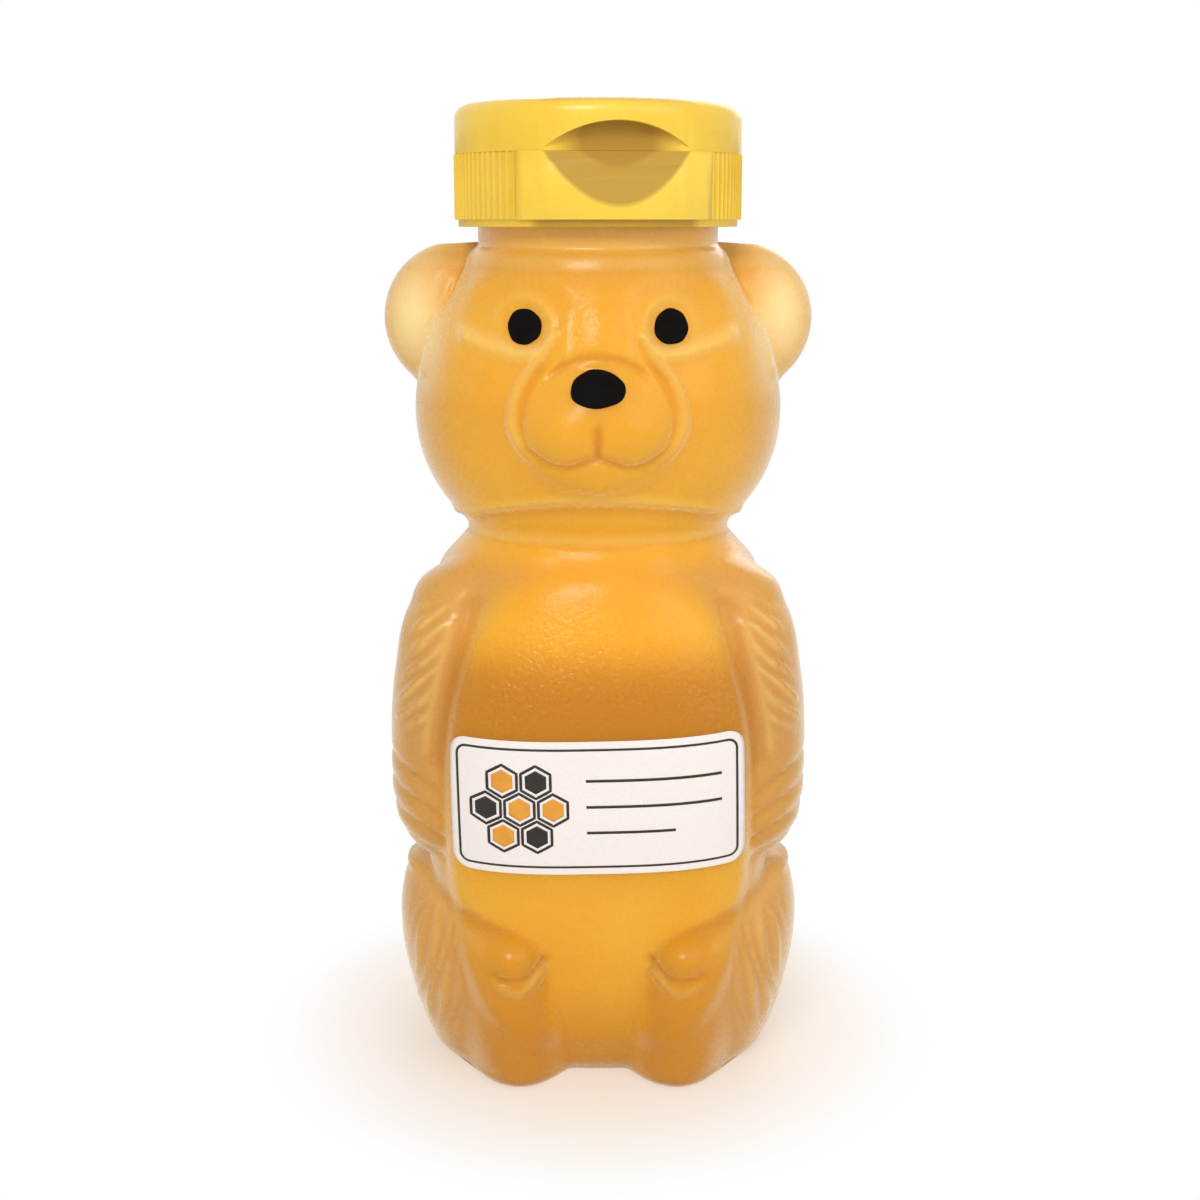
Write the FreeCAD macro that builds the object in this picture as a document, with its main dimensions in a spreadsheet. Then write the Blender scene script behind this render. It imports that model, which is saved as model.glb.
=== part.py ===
import FreeCAD, Part
import math
import os

import Sketcher

# Honey bear squeeze bottle with a flip-top screw cap. Millimetres, +Z up, the bear faces -Y.
# The origin is the middle of the standing face, on the axis of the neck.
document = FreeCAD.newDocument("honey_bear_bottle")

# Every independent size, as name, value and meaning.
SIZE_ROWS = (
    ("cut_overrun", 2.0, "how far a cutting shape runs past the face it cuts"),
    ("join_overlap", 0.4, "how far a shape sinks into the one it is joined to"),
    ("bottle_wall", 1.0, "wall of the blown bottle"),
    ("torso_width", 56.4, "torso without the limbs, side to side"),
    ("torso_depth", 53.6, "torso, front to back"),
    ("torso_height", 82.0, "standing face to the crease under the head"),
    ("head_width", 54.6, "head without the ears, side to side"),
    ("head_depth", 49.2, "head without the muzzle, front to back"),
    ("head_height", 40.6, "crease under the head to the foot of the neck"),
    ("ear_width", 21.2, "ear, across its round face"),
    ("ear_thickness", 12.0, "ear, front to back"),
    ("ear_offset", 21.2, "ear centre from the middle plane"),
    ("ear_setback", 1.5, "ear centre behind the neck axis"),
    ("ear_level", 112.0, "ear centre above the standing face"),
    ("muzzle_width", 25.0, "muzzle, side to side"),
    ("muzzle_height", 21.0, "muzzle, top to bottom"),
    ("muzzle_depth", 20.4, "muzzle, front to back, mostly inside the head"),
    ("muzzle_forward", 17.4, "muzzle centre in front of the neck axis"),
    ("muzzle_level", 98.0, "muzzle centre above the standing face"),
    ("arm_width", 22.9, "arm, side to side"),
    ("arm_depth", 25.0, "arm, front to back"),
    ("arm_length", 47.0, "paw to shoulder"),
    ("arm_bottom", 31.0, "underside of the paw above the standing face"),
    ("arm_offset", 23.0, "arm centre at the paw from the middle plane"),
    ("arm_lean", 5.5, "how far the arm leans in from paw to shoulder"),
    ("arm_forward", 7.0, "arm centre in front of the neck axis"),
    ("thigh_width", 27.0, "thigh, side to side"),
    ("thigh_depth", 37.0, "thigh, front to back"),
    ("thigh_height", 30.4, "top of the thigh above the standing face"),
    ("thigh_offset", 18.0, "thigh centre from the middle plane"),
    ("thigh_forward", 4.0, "thigh centre in front of the neck axis"),
    ("foot_width", 14.4, "foot, side to side"),
    ("foot_depth", 15.0, "foot, front to back"),
    ("foot_height", 29.4, "foot, with the part below the standing face that is cut off"),
    ("foot_offset", 13.0, "foot centre from the middle plane"),
    ("foot_forward", 19.8, "foot centre in front of the neck axis"),
    ("foot_level", 9.5, "foot centre above the standing face"),
    ("base_recess_width", 30.0, "hollow under the base, across"),
    ("base_recess_rise", 1.0, "hollow under the base, upwards"),
    ("neck_diameter", 35.1, "neck between the threads"),
    ("neck_bore", 30.8, "bore of the neck"),
    ("lip_level", 133.3, "pouring lip above the standing face"),
    ("thread_pitch", 4.23, "rise of the thread in one turn"),
    ("thread_height", 1.15, "thread, out of the wall"),
    ("neck_thread_root", 2.2, "neck thread, width at the wall"),
    ("neck_thread_crest", 0.9, "neck thread, width at its crest"),
    ("neck_thread_level", 126.2, "middle of the neck thread where it starts"),
    ("neck_thread_turns", 1.11, "turns of the neck thread"),
    ("cap_thread_root", 1.6, "cap thread, width at the wall"),
    ("cap_thread_crest", 0.7, "cap thread, width at its crest"),
    ("cap_thread_drop", 1.4, "cap thread below the neck thread on the same side"),
    ("cap_thread_delay", 135.0, "turn from the start of the neck thread to that of the cap thread"),
    ("cap_thread_turns", 1.0, "turns of the cap thread"),
    ("thread_clearance", 0.4, "gap between a thread crest and the wall it faces"),
    ("honey_clearance", 0.1, "gap between the honey and the bottle"),
    ("honey_level", 121.4, "top of the honey above the standing face"),
    ("label_width", 41.0, "label, straight across"),
    ("label_height", 19.5, "label, top to bottom"),
    ("label_level", 45.2, "middle of the label above the standing face"),
    ("label_corner", 2.2, "radius of the corners of the label"),
    ("label_thickness", 0.15, "paper of the label with its glue"),
    ("paint_thickness", 0.2, "black paint of the eyes and the nose"),
    ("eye_diameter", 4.6, "painted eye"),
    ("eye_offset", 10.3, "eye centre from the middle plane"),
    ("eye_level", 112.4, "eye centre above the standing face"),
    ("nose_width", 7.4, "painted nose, side to side"),
    ("nose_height", 5.2, "painted nose, top to bottom"),
    ("nose_level", 104.2, "nose centre above the standing face"),
    ("seal_thickness", 0.9, "foam ring between the lip and the cap"),
    ("seal_bore", 31.2, "bore of the foam ring"),
    ("cap_clocking", 8.3, "turn of the closed cap towards the left side of the bear"),
    ("cap_diameter", 42.0, "cap over the crests of the ribs"),
    ("cap_bottom", 125.5, "lower rim of the cap above the standing face"),
    ("cap_parting", 135.6, "plane where the lid meets the cap"),
    ("cap_step_level", 132.4, "underside of the thick corner inside the cap"),
    ("band_height", 1.0, "plain band at the lower rim of the cap"),
    ("band_inset", 0.6, "how far the plain band stands back"),
    ("rib_pitch", 3.3333, "turn from one rib to the next"),
    ("rib_count", 84, "ribs round the cap"),
    ("rib_height", 0.35, "rib, out of the wall"),
    ("rib_width", 0.9, "rib, width at the wall"),
    ("plain_half_angle", 41.7, "half the turn of the plain front of the cap, to the first rib"),
    ("spout_bore", 6.6, "hole the honey is poured through"),
    ("spout_base", 11.2, "spout across its foot"),
    ("spout_tip", 9.2, "spout across its tip"),
    ("spout_height", 4.4, "spout above the parting plane"),
    ("recess_depth", 2.8, "thumb recess at the parting plane"),
    ("recess_height", 7.8, "thumb recess of the cap, below the parting plane"),
    ("lid_diameter", 41.6, "lid across"),
    ("lid_height", 6.9, "lid, parting plane to top"),
    ("lid_wall", 1.4, "wall and top of the lid"),
    ("lid_round", 2.0, "rounding of the top edge of the lid"),
    ("lid_arch", 3.9, "arch of the thumb recess in the lid, above the parting plane"),
    ("lid_ring_bore", 10.8, "ring under the lid that closes round the spout"),
    ("lid_ring_wall", 1.0, "wall of that ring"),
    ("lid_ring_height", 3.0, "that ring, downwards"),
    ("hinge_diameter", 1.0, "round web of the hinge"),
    ("hinge_length", 12.0, "hinge, along its axis"),
    ("hinge_standoff", 0.6, "hinge axis behind the ribs"),
    ("hinge_clearance", 0.05, "running gap round the hinge web"),
    ("hinge_tab", 1.6, "hinge tabs, above and below the parting plane"),
)

# Outlines from the bottom up, as shares: level of the height, width and depth of the full size,
# then the squareness of the section, 2 for a plain ellipse. Levels outside 0 to 1 reach into the next form.
TORSO_SHARES = (
    (0.000, 0.800, 0.800, 2.2),
    (0.018, 0.890, 0.890, 2.3),
    (0.050, 0.945, 0.945, 2.4),
    (0.170, 0.990, 0.985, 2.4),
    (0.400, 1.000, 1.000, 2.4),
    (0.610, 0.993, 0.990, 2.4),
    (0.760, 0.945, 0.935, 2.3),
    (0.860, 0.870, 0.865, 2.2),
    (0.930, 0.785, 0.790, 2.1),
    (1.000, 0.684, 0.690, 2.0),
    (1.040, 0.640, 0.650, 2.0),
)
HEAD_SHARES = (
    (-0.06, 0.610, 0.650, 2.0),
    (0.000, 0.707, 0.750, 2.0),
    (0.050, 0.784, 0.815, 2.0),
    (0.150, 0.896, 0.905, 2.0),
    (0.270, 0.972, 0.970, 2.0),
    (0.400, 1.000, 1.000, 2.0),
    (0.540, 0.982, 0.995, 2.0),
    (0.690, 0.916, 0.950, 2.0),
    (0.820, 0.810, 0.860, 2.0),
    (0.920, 0.730, 0.790, 2.0),
    (1.000, 0.660, 0.725, 2.0),
    (1.040, 0.560, 0.620, 2.0),
)
ARM_SHARES = (
    (0.000, 0.385, 0.480, 2.0),
    (0.035, 0.550, 0.720, 2.0),
    (0.090, 0.715, 0.880, 2.0),
    (0.180, 0.840, 0.970, 2.0),
    (0.330, 0.934, 1.000, 2.0),
    (0.620, 1.000, 0.930, 2.0),
    (0.830, 0.900, 0.760, 2.0),
    (0.950, 0.630, 0.540, 2.0),
    (1.000, 0.220, 0.300, 2.0),
)
THIGH_SHARES = (
    (0.000, 0.730, 0.900, 2.0),
    (0.130, 0.830, 0.940, 2.0),
    (0.340, 0.945, 0.990, 2.0),
    (0.600, 1.000, 1.000, 2.0),
    (0.820, 0.945, 0.840, 2.0),
    (0.930, 0.860, 0.620, 2.0),
    (1.000, 0.720, 0.420, 2.0),
)
SECTION_POINTS = 32

sizes = document.addObject("Spreadsheet::Sheet", "Sizes")
for row, (alias, value, meaning) in enumerate(SIZE_ROWS, start=1):
    sizes.set(f"A{row}", meaning)
    sizes.set(f"B{row}", str(value))
    sizes.setAlias(f"B{row}", alias)
document.recompute()


def feature(kind, label, expressions, links=None):
    """One document object, with its links set and each property bound to its expression."""
    item = document.addObject(kind, label)
    for name, value in (links or {}).items():
        setattr(item, name, value)
    for name, expression in expressions.items():
        item.setExpression(name, expression)
    return item


def joined(label, items):
    """All the items fused into one."""
    return feature("Part::MultiFuse", label, {}, {"Shapes": items})


def cut(label, base, tool):
    """The base with the tool taken away; its faces stay as they are cut."""
    return feature("Part::Cut", label, {}, {"Base": base, "Tool": tool, "Refine": False})


def shared(label, first, second):
    """What the two items have in common."""
    return feature("Part::Common", label, {}, {"Base": first, "Tool": second})


def upright(label, diameter, bottom, top):
    """A cylinder on the neck axis between two levels."""
    return feature("Part::Cylinder", label, {
        "Radius": f"({diameter}) / 2",
        "Height": f"({top}) - ({bottom})",
        "Placement.Base.z": bottom,
    })


def block(label, corner, extent):
    """A box from its lowest corner and its extent along X, Y and Z."""
    return feature("Part::Box", label, {
        "Length": extent[0],
        "Width": extent[1],
        "Height": extent[2],
        "Placement.Base.x": corner[0],
        "Placement.Base.y": corner[1],
        "Placement.Base.z": corner[2],
    })


def level_rod(label, turn_axis, diameter, length, start):
    """A cylinder laid level: its upright axis is turned a quarter about the given axis."""
    rod = document.addObject("Part::Cylinder", label)
    rod.Placement.Rotation = FreeCAD.Rotation(FreeCAD.Vector(*turn_axis), 90)
    rod.setExpression("Radius", f"({diameter}) / 2")
    rod.setExpression("Height", length)
    for letter, expression in zip("xyz", start):
        rod.setExpression(f"Placement.Base.{letter}", expression)
    return rod


def section(half_width, half_depth, squareness, centre_x, centre_y, level, seam):
    """Closed level curve through points of a superellipse, starting at the seam angle."""
    points = []
    for step in range(SECTION_POINTS):
        angle = seam + 2 * math.pi * step / SECTION_POINTS
        across = math.copysign(abs(math.cos(angle)) ** (2 / squareness), math.cos(angle))
        along = math.copysign(abs(math.sin(angle)) ** (2 / squareness), math.sin(angle))
        points.append(FreeCAD.Vector(centre_x + half_width * across, centre_y + half_depth * along, level))
    curve = Part.BSplineCurve()
    curve.interpolate(Points=points, PeriodicFlag=True)
    return Part.Wire(curve.toShape())


def lofted(label, shares, width, depth, bottom, height, centre_x, centre_y, inset, seam, lean=0):
    """A smooth solid through the sections of one outline, drawn in by the inset and leaning along X."""
    wires = []
    for level_share, width_share, depth_share, squareness in shares:
        half_width = width * width_share / 2 - inset
        half_depth = depth * depth_share / 2 - inset
        level = bottom + height * level_share
        across = centre_x + lean * level_share
        wires.append(section(half_width, half_depth, squareness, across, centre_y, level, seam))
    item = document.addObject("Part::Feature", label)
    item.Shape = Part.makeLoft(wires, True)
    return item


def torso_form(label, inset, floor):
    """The trunk of the bear without its limbs, from the level of its floor."""
    return lofted(
        label, TORSO_SHARES, sizes.torso_width, sizes.torso_depth,
        floor, sizes.torso_height - floor, 0, 0, inset, math.pi / 2,
    )


def head_form(label, inset):
    """The head without ears and muzzle."""
    return lofted(
        label, HEAD_SHARES, sizes.head_width, sizes.head_depth,
        sizes.torso_height, sizes.head_height, 0, 0, inset, math.pi / 2,
    )


def limb_forms(label, inset):
    """Arms and thighs of both sides, with their seams inside the torso."""
    forms = []
    for side_name, side, seam in (("left", 1, math.pi), ("right", -1, 0)):
        forms.append(lofted(
            f"{label}_{side_name}_arm", ARM_SHARES, sizes.arm_width, sizes.arm_depth,
            sizes.arm_bottom + inset, sizes.arm_length - 2 * inset,
            side * sizes.arm_offset, -sizes.arm_forward, inset, seam, -side * sizes.arm_lean,
        ))
        forms.append(lofted(
            f"{label}_{side_name}_thigh", THIGH_SHARES, sizes.thigh_width, sizes.thigh_depth,
            inset, sizes.thigh_height - 2 * inset,
            side * sizes.thigh_offset, -sizes.thigh_forward, inset, seam,
        ))
    return forms


def ellipsoid(label, size, centre, inset):
    """An ellipsoid from its full width, depth and height, drawn in by the inset."""
    return feature("Part::Ellipsoid", label, {
        "Radius1": f"({size[2]}) / 2 - ({inset})",
        "Radius2": f"({size[0]}) / 2 - ({inset})",
        "Radius3": f"({size[1]}) / 2 - ({inset})",
        "Placement.Base.x": centre[0],
        "Placement.Base.y": centre[1],
        "Placement.Base.z": centre[2],
    }, {"Angle1": -90, "Angle2": 90, "Angle3": 360})


def muzzle_form(label, inset):
    """The round muzzle."""
    return ellipsoid(
        label,
        ("Sizes.muzzle_width", "Sizes.muzzle_depth", "Sizes.muzzle_height"),
        ("0", "-Sizes.muzzle_forward", "Sizes.muzzle_level"),
        inset,
    )


def rounded_forms(label, inset):
    """Muzzle, ears and feet."""
    forms = [muzzle_form(f"{label}_muzzle", inset)]
    for side_name, sign in (("left", ""), ("right", "-")):
        forms.append(ellipsoid(
            f"{label}_{side_name}_ear",
            ("Sizes.ear_width", "Sizes.ear_thickness", "Sizes.ear_width"),
            (f"{sign}Sizes.ear_offset", "Sizes.ear_setback", "Sizes.ear_level"),
            inset,
        ))
        foot = ellipsoid(
            f"{label}_{side_name}_foot_round",
            ("Sizes.foot_width", "Sizes.foot_depth", "Sizes.foot_height"),
            (f"{sign}Sizes.foot_offset", "-Sizes.foot_forward", "Sizes.foot_level"),
            inset,
        )
        standing = block(
            f"{label}_{side_name}_foot_room",
            ("-Sizes.torso_width", "-Sizes.torso_depth", inset),
            ("2 * Sizes.torso_width", "Sizes.torso_depth", "Sizes.foot_height"),
        )
        forms.append(shared(f"{label}_{side_name}_foot", foot, standing))
    return forms


def bear_form(label, inset_expression, inset):
    """The whole bear below the neck, drawn in by the inset, standing level with its base hollow."""
    limbs = limb_forms(label, inset)
    rounds = rounded_forms(label, inset_expression)
    trunk = [torso_form(f"{label}_torso", inset, inset), head_form(f"{label}_head", inset)]
    whole = joined(f"{label}_whole", trunk + limbs + rounds)
    hollow = upright(
        f"{label}_hollow",
        f"Sizes.base_recess_width + 2 * ({inset_expression})",
        "-Sizes.cut_overrun",
        f"Sizes.base_recess_rise + {inset_expression}",
    )
    return cut(f"{label}_form", whole, hollow)


def thread(label, wall_radius, inward, root, crest, start, turns, delay):
    """A thread ridge swept along a helix; it stands inward or outward of the wall."""
    facing = -1 if inward else 1
    buried = wall_radius - facing * sizes.join_overlap
    crest_radius = wall_radius + facing * sizes.thread_height
    corners = ((buried, root), (crest_radius, crest))
    points = [FreeCAD.Vector(radius, 0, start - width / 2) for radius, width in corners]
    points += [FreeCAD.Vector(radius, 0, start + width / 2) for radius, width in reversed(corners)]
    helix = Part.makeHelix(sizes.thread_pitch, sizes.thread_pitch * turns, wall_radius)
    helix.translate(FreeCAD.Vector(0, 0, start))
    profile = Part.makePolygon(points + points[:1])
    item = document.addObject("Part::Feature", label)
    item.Shape = Part.Wire(helix.Edges).makePipeShell([profile], True, True)
    item.Placement.Rotation = FreeCAD.Rotation(FreeCAD.Vector(0, 0, 1), delay)
    return item


def outline_sketch(body, label, plane, corners):
    """A closed outline of straight lines on a plane of the body, each corner bound to two expressions."""
    planes = {item.Role: item for item in body.Origin.OriginFeatures}
    outline = body.newObject("Sketcher::SketchObject", label)
    outline.AttachmentSupport = (planes[plane], [""])
    outline.MapMode = "FlatFace"
    spots = [FreeCAD.Vector(*(float(sizes.evalExpression(text)) for text in corner)) for corner in corners]
    for index, spot in enumerate(spots):
        outline.addGeometry(Part.LineSegment(spot, spots[(index + 1) % len(spots)]))
    for index, corner in enumerate(corners):
        following = (index + 1) % len(corners)
        outline.addConstraint(Sketcher.Constraint("Coincident", index, 2, following, 1))
        for kind, zero_line, text, value in (
            ("DistanceX", -2, corner[0], spots[index].x),
            ("DistanceY", -1, corner[1], spots[index].y),
        ):
            if text == "0":
                outline.addConstraint(Sketcher.Constraint("PointOnObject", index, 1, zero_line))
            else:
                number = outline.addConstraint(Sketcher.Constraint(kind, -1, 1, index, 1, value))
                outline.setExpression(f"Constraints[{number}]", text)
    return outline


def revolved_body(label, corners):
    """A body turned about Z from a closed outline of radius and level expressions."""
    body = document.addObject("PartDesign::Body", label)
    outline = outline_sketch(body, f"{label}_outline", "XZ_Plane", corners)
    turned = body.newObject("PartDesign::Revolution", f"{label}_turned")
    turned.Profile = outline
    turned.ReferenceAxis = (outline, ["V_Axis"])
    body.Tip = turned
    return body


def clocked(item):
    """The item turned about the neck axis with the closed cap."""
    item.Placement.Rotation = FreeCAD.Rotation(FreeCAD.Vector(0, 0, 1), 1)
    item.setExpression("Placement.Rotation.Angle", "Sizes.cap_clocking")
    return item


# Bottle: one blown shell with the bear outside, the same form a wall thinner inside, and a threaded neck.
neck_base = "(Sizes.torso_height + Sizes.head_height)"
skin = bear_form("skin", "0", 0)
cavity = bear_form("cavity", "Sizes.bottle_wall", sizes.bottle_wall)
neck = upright("neck", "Sizes.neck_diameter", f"{neck_base} - Sizes.cut_overrun", "Sizes.lip_level")
bore = upright(
    "bore", "Sizes.neck_bore",
    f"{neck_base} - 2 * Sizes.cut_overrun", "Sizes.lip_level + Sizes.cut_overrun",
)
neck_thread = thread(
    "neck_thread", sizes.neck_diameter / 2, False, sizes.neck_thread_root, sizes.neck_thread_crest,
    sizes.neck_thread_level, sizes.neck_thread_turns, 0,
)
bottle = cut("bottle", joined("bottle_outside", [skin, neck, neck_thread]), joined("bottle_inside", [cavity, bore]))

# Honey: fills the cavity to just under the neck.
honey_form = bear_form(
    "honey", "(Sizes.bottle_wall + Sizes.honey_clearance)", sizes.bottle_wall + sizes.honey_clearance
)
honey_room = block(
    "honey_room",
    ("-Sizes.torso_width", "-Sizes.torso_depth", "0"),
    ("2 * Sizes.torso_width", "2 * Sizes.torso_depth", "Sizes.honey_level"),
)
honey = shared("honey", honey_form, honey_room)

# Label: a paper sheet with round corners, bent round the front of the torso.
label_bars = [
    block(
        f"label_bar_{name}",
        (f"-Sizes.label_width / 2 + {across}", "-Sizes.torso_depth",
         f"Sizes.label_level - Sizes.label_height / 2 + {up}"),
        (f"Sizes.label_width - 2 * {across}", "Sizes.torso_depth", f"Sizes.label_height - 2 * {up}"),
    )
    for name, across, up in (("wide", "0", "Sizes.label_corner"), ("tall", "Sizes.label_corner", "0"))
]
label_corners = [
    level_rod(
        f"label_corner_{name}", (1, 0, 0), "2 * Sizes.label_corner", "Sizes.torso_depth",
        (f"{across} * (Sizes.label_width / 2 - Sizes.label_corner)", "0",
         f"Sizes.label_level + {up} * (Sizes.label_height / 2 - Sizes.label_corner)"),
    )
    for name, across, up in (("a", "1", "1"), ("b", "1", "-1"), ("c", "-1", "1"), ("d", "-1", "-1"))
]
label_outline = joined("label_outline", label_bars + label_corners)
label_skin = cut(
    "label_skin", torso_form("label_outside", -sizes.label_thickness, 0), torso_form("label_inside", 0, 0)
)
label = shared("label", label_skin, label_outline)

# Eyes and nose: films of black paint on the head and on the muzzle.
eyes = []
for side_name, sign in (("left", ""), ("right", "-")):
    spot = level_rod(
        f"{side_name}_eye_spot", (1, 0, 0), "Sizes.eye_diameter", "Sizes.head_depth",
        (f"{sign}Sizes.eye_offset", "0", "Sizes.eye_level"),
    )
    film = cut(
        f"{side_name}_eye_film",
        head_form(f"{side_name}_eye_outside", -sizes.paint_thickness),
        head_form(f"{side_name}_eye_inside", 0),
    )
    eyes.append(shared(f"{side_name}_eye", film, spot))
nose_spot = feature("Part::Ellipsoid", "nose_spot", {
    "Radius1": "Sizes.nose_height / 2",
    "Radius2": "Sizes.nose_width / 2",
    "Radius3": "Sizes.muzzle_depth",
    "Placement.Base.y": "-Sizes.muzzle_forward - Sizes.muzzle_depth / 2",
    "Placement.Base.z": "Sizes.nose_level",
}, {"Angle1": -90, "Angle2": 90, "Angle3": 360})
nose_film = cut("nose_film", muzzle_form("nose_outside", "-Sizes.paint_thickness"), skin)
nose = shared("nose", nose_film, nose_spot)

# Seal ring: foam between the pouring lip and the underside of the cap.
deck_level = "(Sizes.lip_level + Sizes.seal_thickness)"
seal_ring = cut(
    "seal_ring",
    upright("seal_disc", "Sizes.neck_diameter", "Sizes.lip_level", deck_level),
    upright("seal_hole", "Sizes.seal_bore", "Sizes.lip_level - Sizes.cut_overrun", f"{deck_level} + Sizes.cut_overrun"),
)

# Cap base: ribbed and threaded skirt, deck and spout, with the lower half of the thumb recess.
thread_room = "(Sizes.neck_diameter / 2 + Sizes.thread_height + Sizes.thread_clearance)"
step_radius = "(Sizes.neck_diameter / 2 + Sizes.thread_clearance)"
wall_radius = "(Sizes.cap_diameter / 2 - Sizes.rib_height)"
band_radius = "(Sizes.cap_diameter / 2 - Sizes.band_inset)"
band_top = "(Sizes.cap_bottom + Sizes.band_height)"
spout_top = "(Sizes.cap_parting + Sizes.spout_height)"
cap_body = revolved_body("cap_body", (
    ("Sizes.spout_bore / 2", deck_level),
    (step_radius, deck_level),
    (step_radius, "Sizes.cap_step_level"),
    (thread_room, "Sizes.cap_step_level"),
    (thread_room, "Sizes.cap_bottom"),
    (band_radius, "Sizes.cap_bottom"),
    (band_radius, band_top),
    (wall_radius, band_top),
    (wall_radius, "Sizes.cap_parting"),
    ("Sizes.spout_base / 2", "Sizes.cap_parting"),
    ("Sizes.spout_tip / 2", spout_top),
    ("Sizes.spout_bore / 2", spout_top),
))
rib_outline = outline_sketch(cap_body, "rib_outline", "XY_Plane", (
    ("-Sizes.rib_width / 2", f"-{wall_radius} + Sizes.join_overlap"),
    ("Sizes.rib_width / 2", f"-{wall_radius} + Sizes.join_overlap"),
    ("0", "-Sizes.cap_diameter / 2"),
))
rib_outline.AttachmentOffset = FreeCAD.Placement(
    FreeCAD.Vector(0, 0, 0), FreeCAD.Rotation(FreeCAD.Vector(0, 0, 1), 1)
)
rib_outline.setExpression("AttachmentOffset.Base.z", band_top)
rib_outline.setExpression("AttachmentOffset.Rotation.Angle", "Sizes.plain_half_angle")
rib = cap_body.newObject("PartDesign::Pad", "rib")
rib.Profile = rib_outline
rib.setExpression("Length", f"Sizes.cap_parting - {band_top}")
ribs = cap_body.newObject("PartDesign::PolarPattern", "ribs")
ribs.Originals = [rib]
ribs.Axis = (rib_outline, ["N_Axis"])
ribs.setExpression("Angle", "Sizes.rib_pitch * (Sizes.rib_count - 1)")
ribs.setExpression("Occurrences", "Sizes.rib_count")
cap_body.Tip = ribs

# The front between the first rib and the last is plain and as wide as the crests.
plain_sector = feature("Part::Cylinder", "plain_sector", {
    "Radius": "Sizes.cap_diameter / 2",
    "Height": f"Sizes.cap_parting - {band_top}",
    "Angle": "2 * Sizes.plain_half_angle - Sizes.rib_pitch",
    "Placement.Base.z": band_top,
})
plain_sector.Placement.Rotation = FreeCAD.Rotation(FreeCAD.Vector(0, 0, 1), 1)
plain_sector.setExpression("Placement.Rotation.Angle", "270 - Sizes.plain_half_angle + Sizes.rib_pitch / 2")
plain_core = upright(
    "plain_core", f"2 * ({wall_radius} - Sizes.join_overlap)",
    "Sizes.cap_bottom", "Sizes.cap_parting + Sizes.cut_overrun",
)
plain_front = cut("plain_front", plain_sector, plain_core)
thumb_facet = feature("Part::Wedge", "thumb_facet", {
    "Xmin": "-Sizes.cap_diameter / 2",
    "X2min": "-Sizes.cap_diameter / 2",
    "Xmax": "Sizes.cap_diameter / 2",
    "X2max": "Sizes.cap_diameter / 2",
    "Ymin": "-Sizes.cap_diameter / 2 - Sizes.recess_depth",
    "Ymax": "-Sizes.cap_diameter / 2 + Sizes.recess_depth",
    "Zmin": "Sizes.cap_parting - 2 * Sizes.recess_height",
    "Z2min": "Sizes.cap_parting",
    "Zmax": "Sizes.cap_parting + Sizes.cut_overrun",
    "Z2max": "Sizes.cap_parting + Sizes.cut_overrun",
})
hinge_back = "(Sizes.cap_diameter / 2 + Sizes.hinge_standoff)"
hinge_room = "(Sizes.hinge_diameter + 2 * Sizes.hinge_clearance)"
cap_tab = block(
    "cap_tab",
    ("-Sizes.hinge_length / 2", f"{wall_radius} - Sizes.lid_wall", "Sizes.cap_parting - Sizes.hinge_tab"),
    ("Sizes.hinge_length", f"{hinge_back} - {wall_radius} + Sizes.lid_wall", "Sizes.hinge_tab"),
)
cap_groove = level_rod(
    "cap_groove", (0, 1, 0), hinge_room, "Sizes.hinge_length + 2 * Sizes.cut_overrun",
    ("-Sizes.hinge_length / 2 - Sizes.cut_overrun", hinge_back, "Sizes.cap_parting"),
)
cap_thread = thread(
    "cap_thread", sizes.neck_diameter / 2 + sizes.thread_height + sizes.thread_clearance, True,
    sizes.cap_thread_root, sizes.cap_thread_crest,
    sizes.neck_thread_level - sizes.cap_thread_drop
    + sizes.thread_pitch * (sizes.cap_thread_delay + sizes.cap_clocking) / 360,
    sizes.cap_thread_turns, sizes.cap_thread_delay,
)
cap_shell = cut(
    "cap_shell",
    joined("cap_blank", [cap_body, plain_front, cap_tab]),
    joined("cap_cuts", [thumb_facet, cap_groove]),
)
cap_base = clocked(joined("cap_base", [cap_shell, cap_thread]))

# Hinge web: the round bead of plastic that joins the lid to the cap at the back.
hinge_rod = level_rod(
    "hinge_rod", (0, 1, 0), "Sizes.hinge_diameter", "Sizes.hinge_length - Sizes.hinge_diameter",
    ("-Sizes.hinge_length / 2 + Sizes.hinge_diameter / 2", hinge_back, "Sizes.cap_parting"),
)
hinge_ends = [
    feature("Part::Sphere", f"hinge_end_{name}", {
        "Radius": "Sizes.hinge_diameter / 2",
        "Placement.Base.x": f"{sign}(Sizes.hinge_length - Sizes.hinge_diameter) / 2",
        "Placement.Base.y": hinge_back,
        "Placement.Base.z": "Sizes.cap_parting",
    })
    for name, sign in (("left", ""), ("right", "-"))
]
hinge_web = clocked(joined("hinge_web", [hinge_rod] + hinge_ends))

# Lid: a shallow cup with the upper half of the thumb recess and a ring that closes round the spout.
lid_top = "(Sizes.cap_parting + Sizes.lid_height)"
lid_under = f"({lid_top} - Sizes.lid_wall)"
lid_inside = "(Sizes.lid_diameter / 2 - Sizes.lid_wall)"
ring_outside = "(Sizes.lid_ring_bore / 2 + Sizes.lid_ring_wall)"
lid_body = revolved_body("lid_body", (
    ("Sizes.lid_diameter / 2", "Sizes.cap_parting"),
    ("Sizes.lid_diameter / 2", lid_top),
    ("0", lid_top),
    ("0", lid_under),
    ("Sizes.lid_ring_bore / 2", lid_under),
    ("Sizes.lid_ring_bore / 2", f"{lid_under} - Sizes.lid_ring_height"),
    (ring_outside, f"{lid_under} - Sizes.lid_ring_height"),
    (ring_outside, lid_under),
    (lid_inside, lid_under),
    (lid_inside, "Sizes.cap_parting"),
))
document.recompute()
lid_turned = lid_body.Tip
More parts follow.
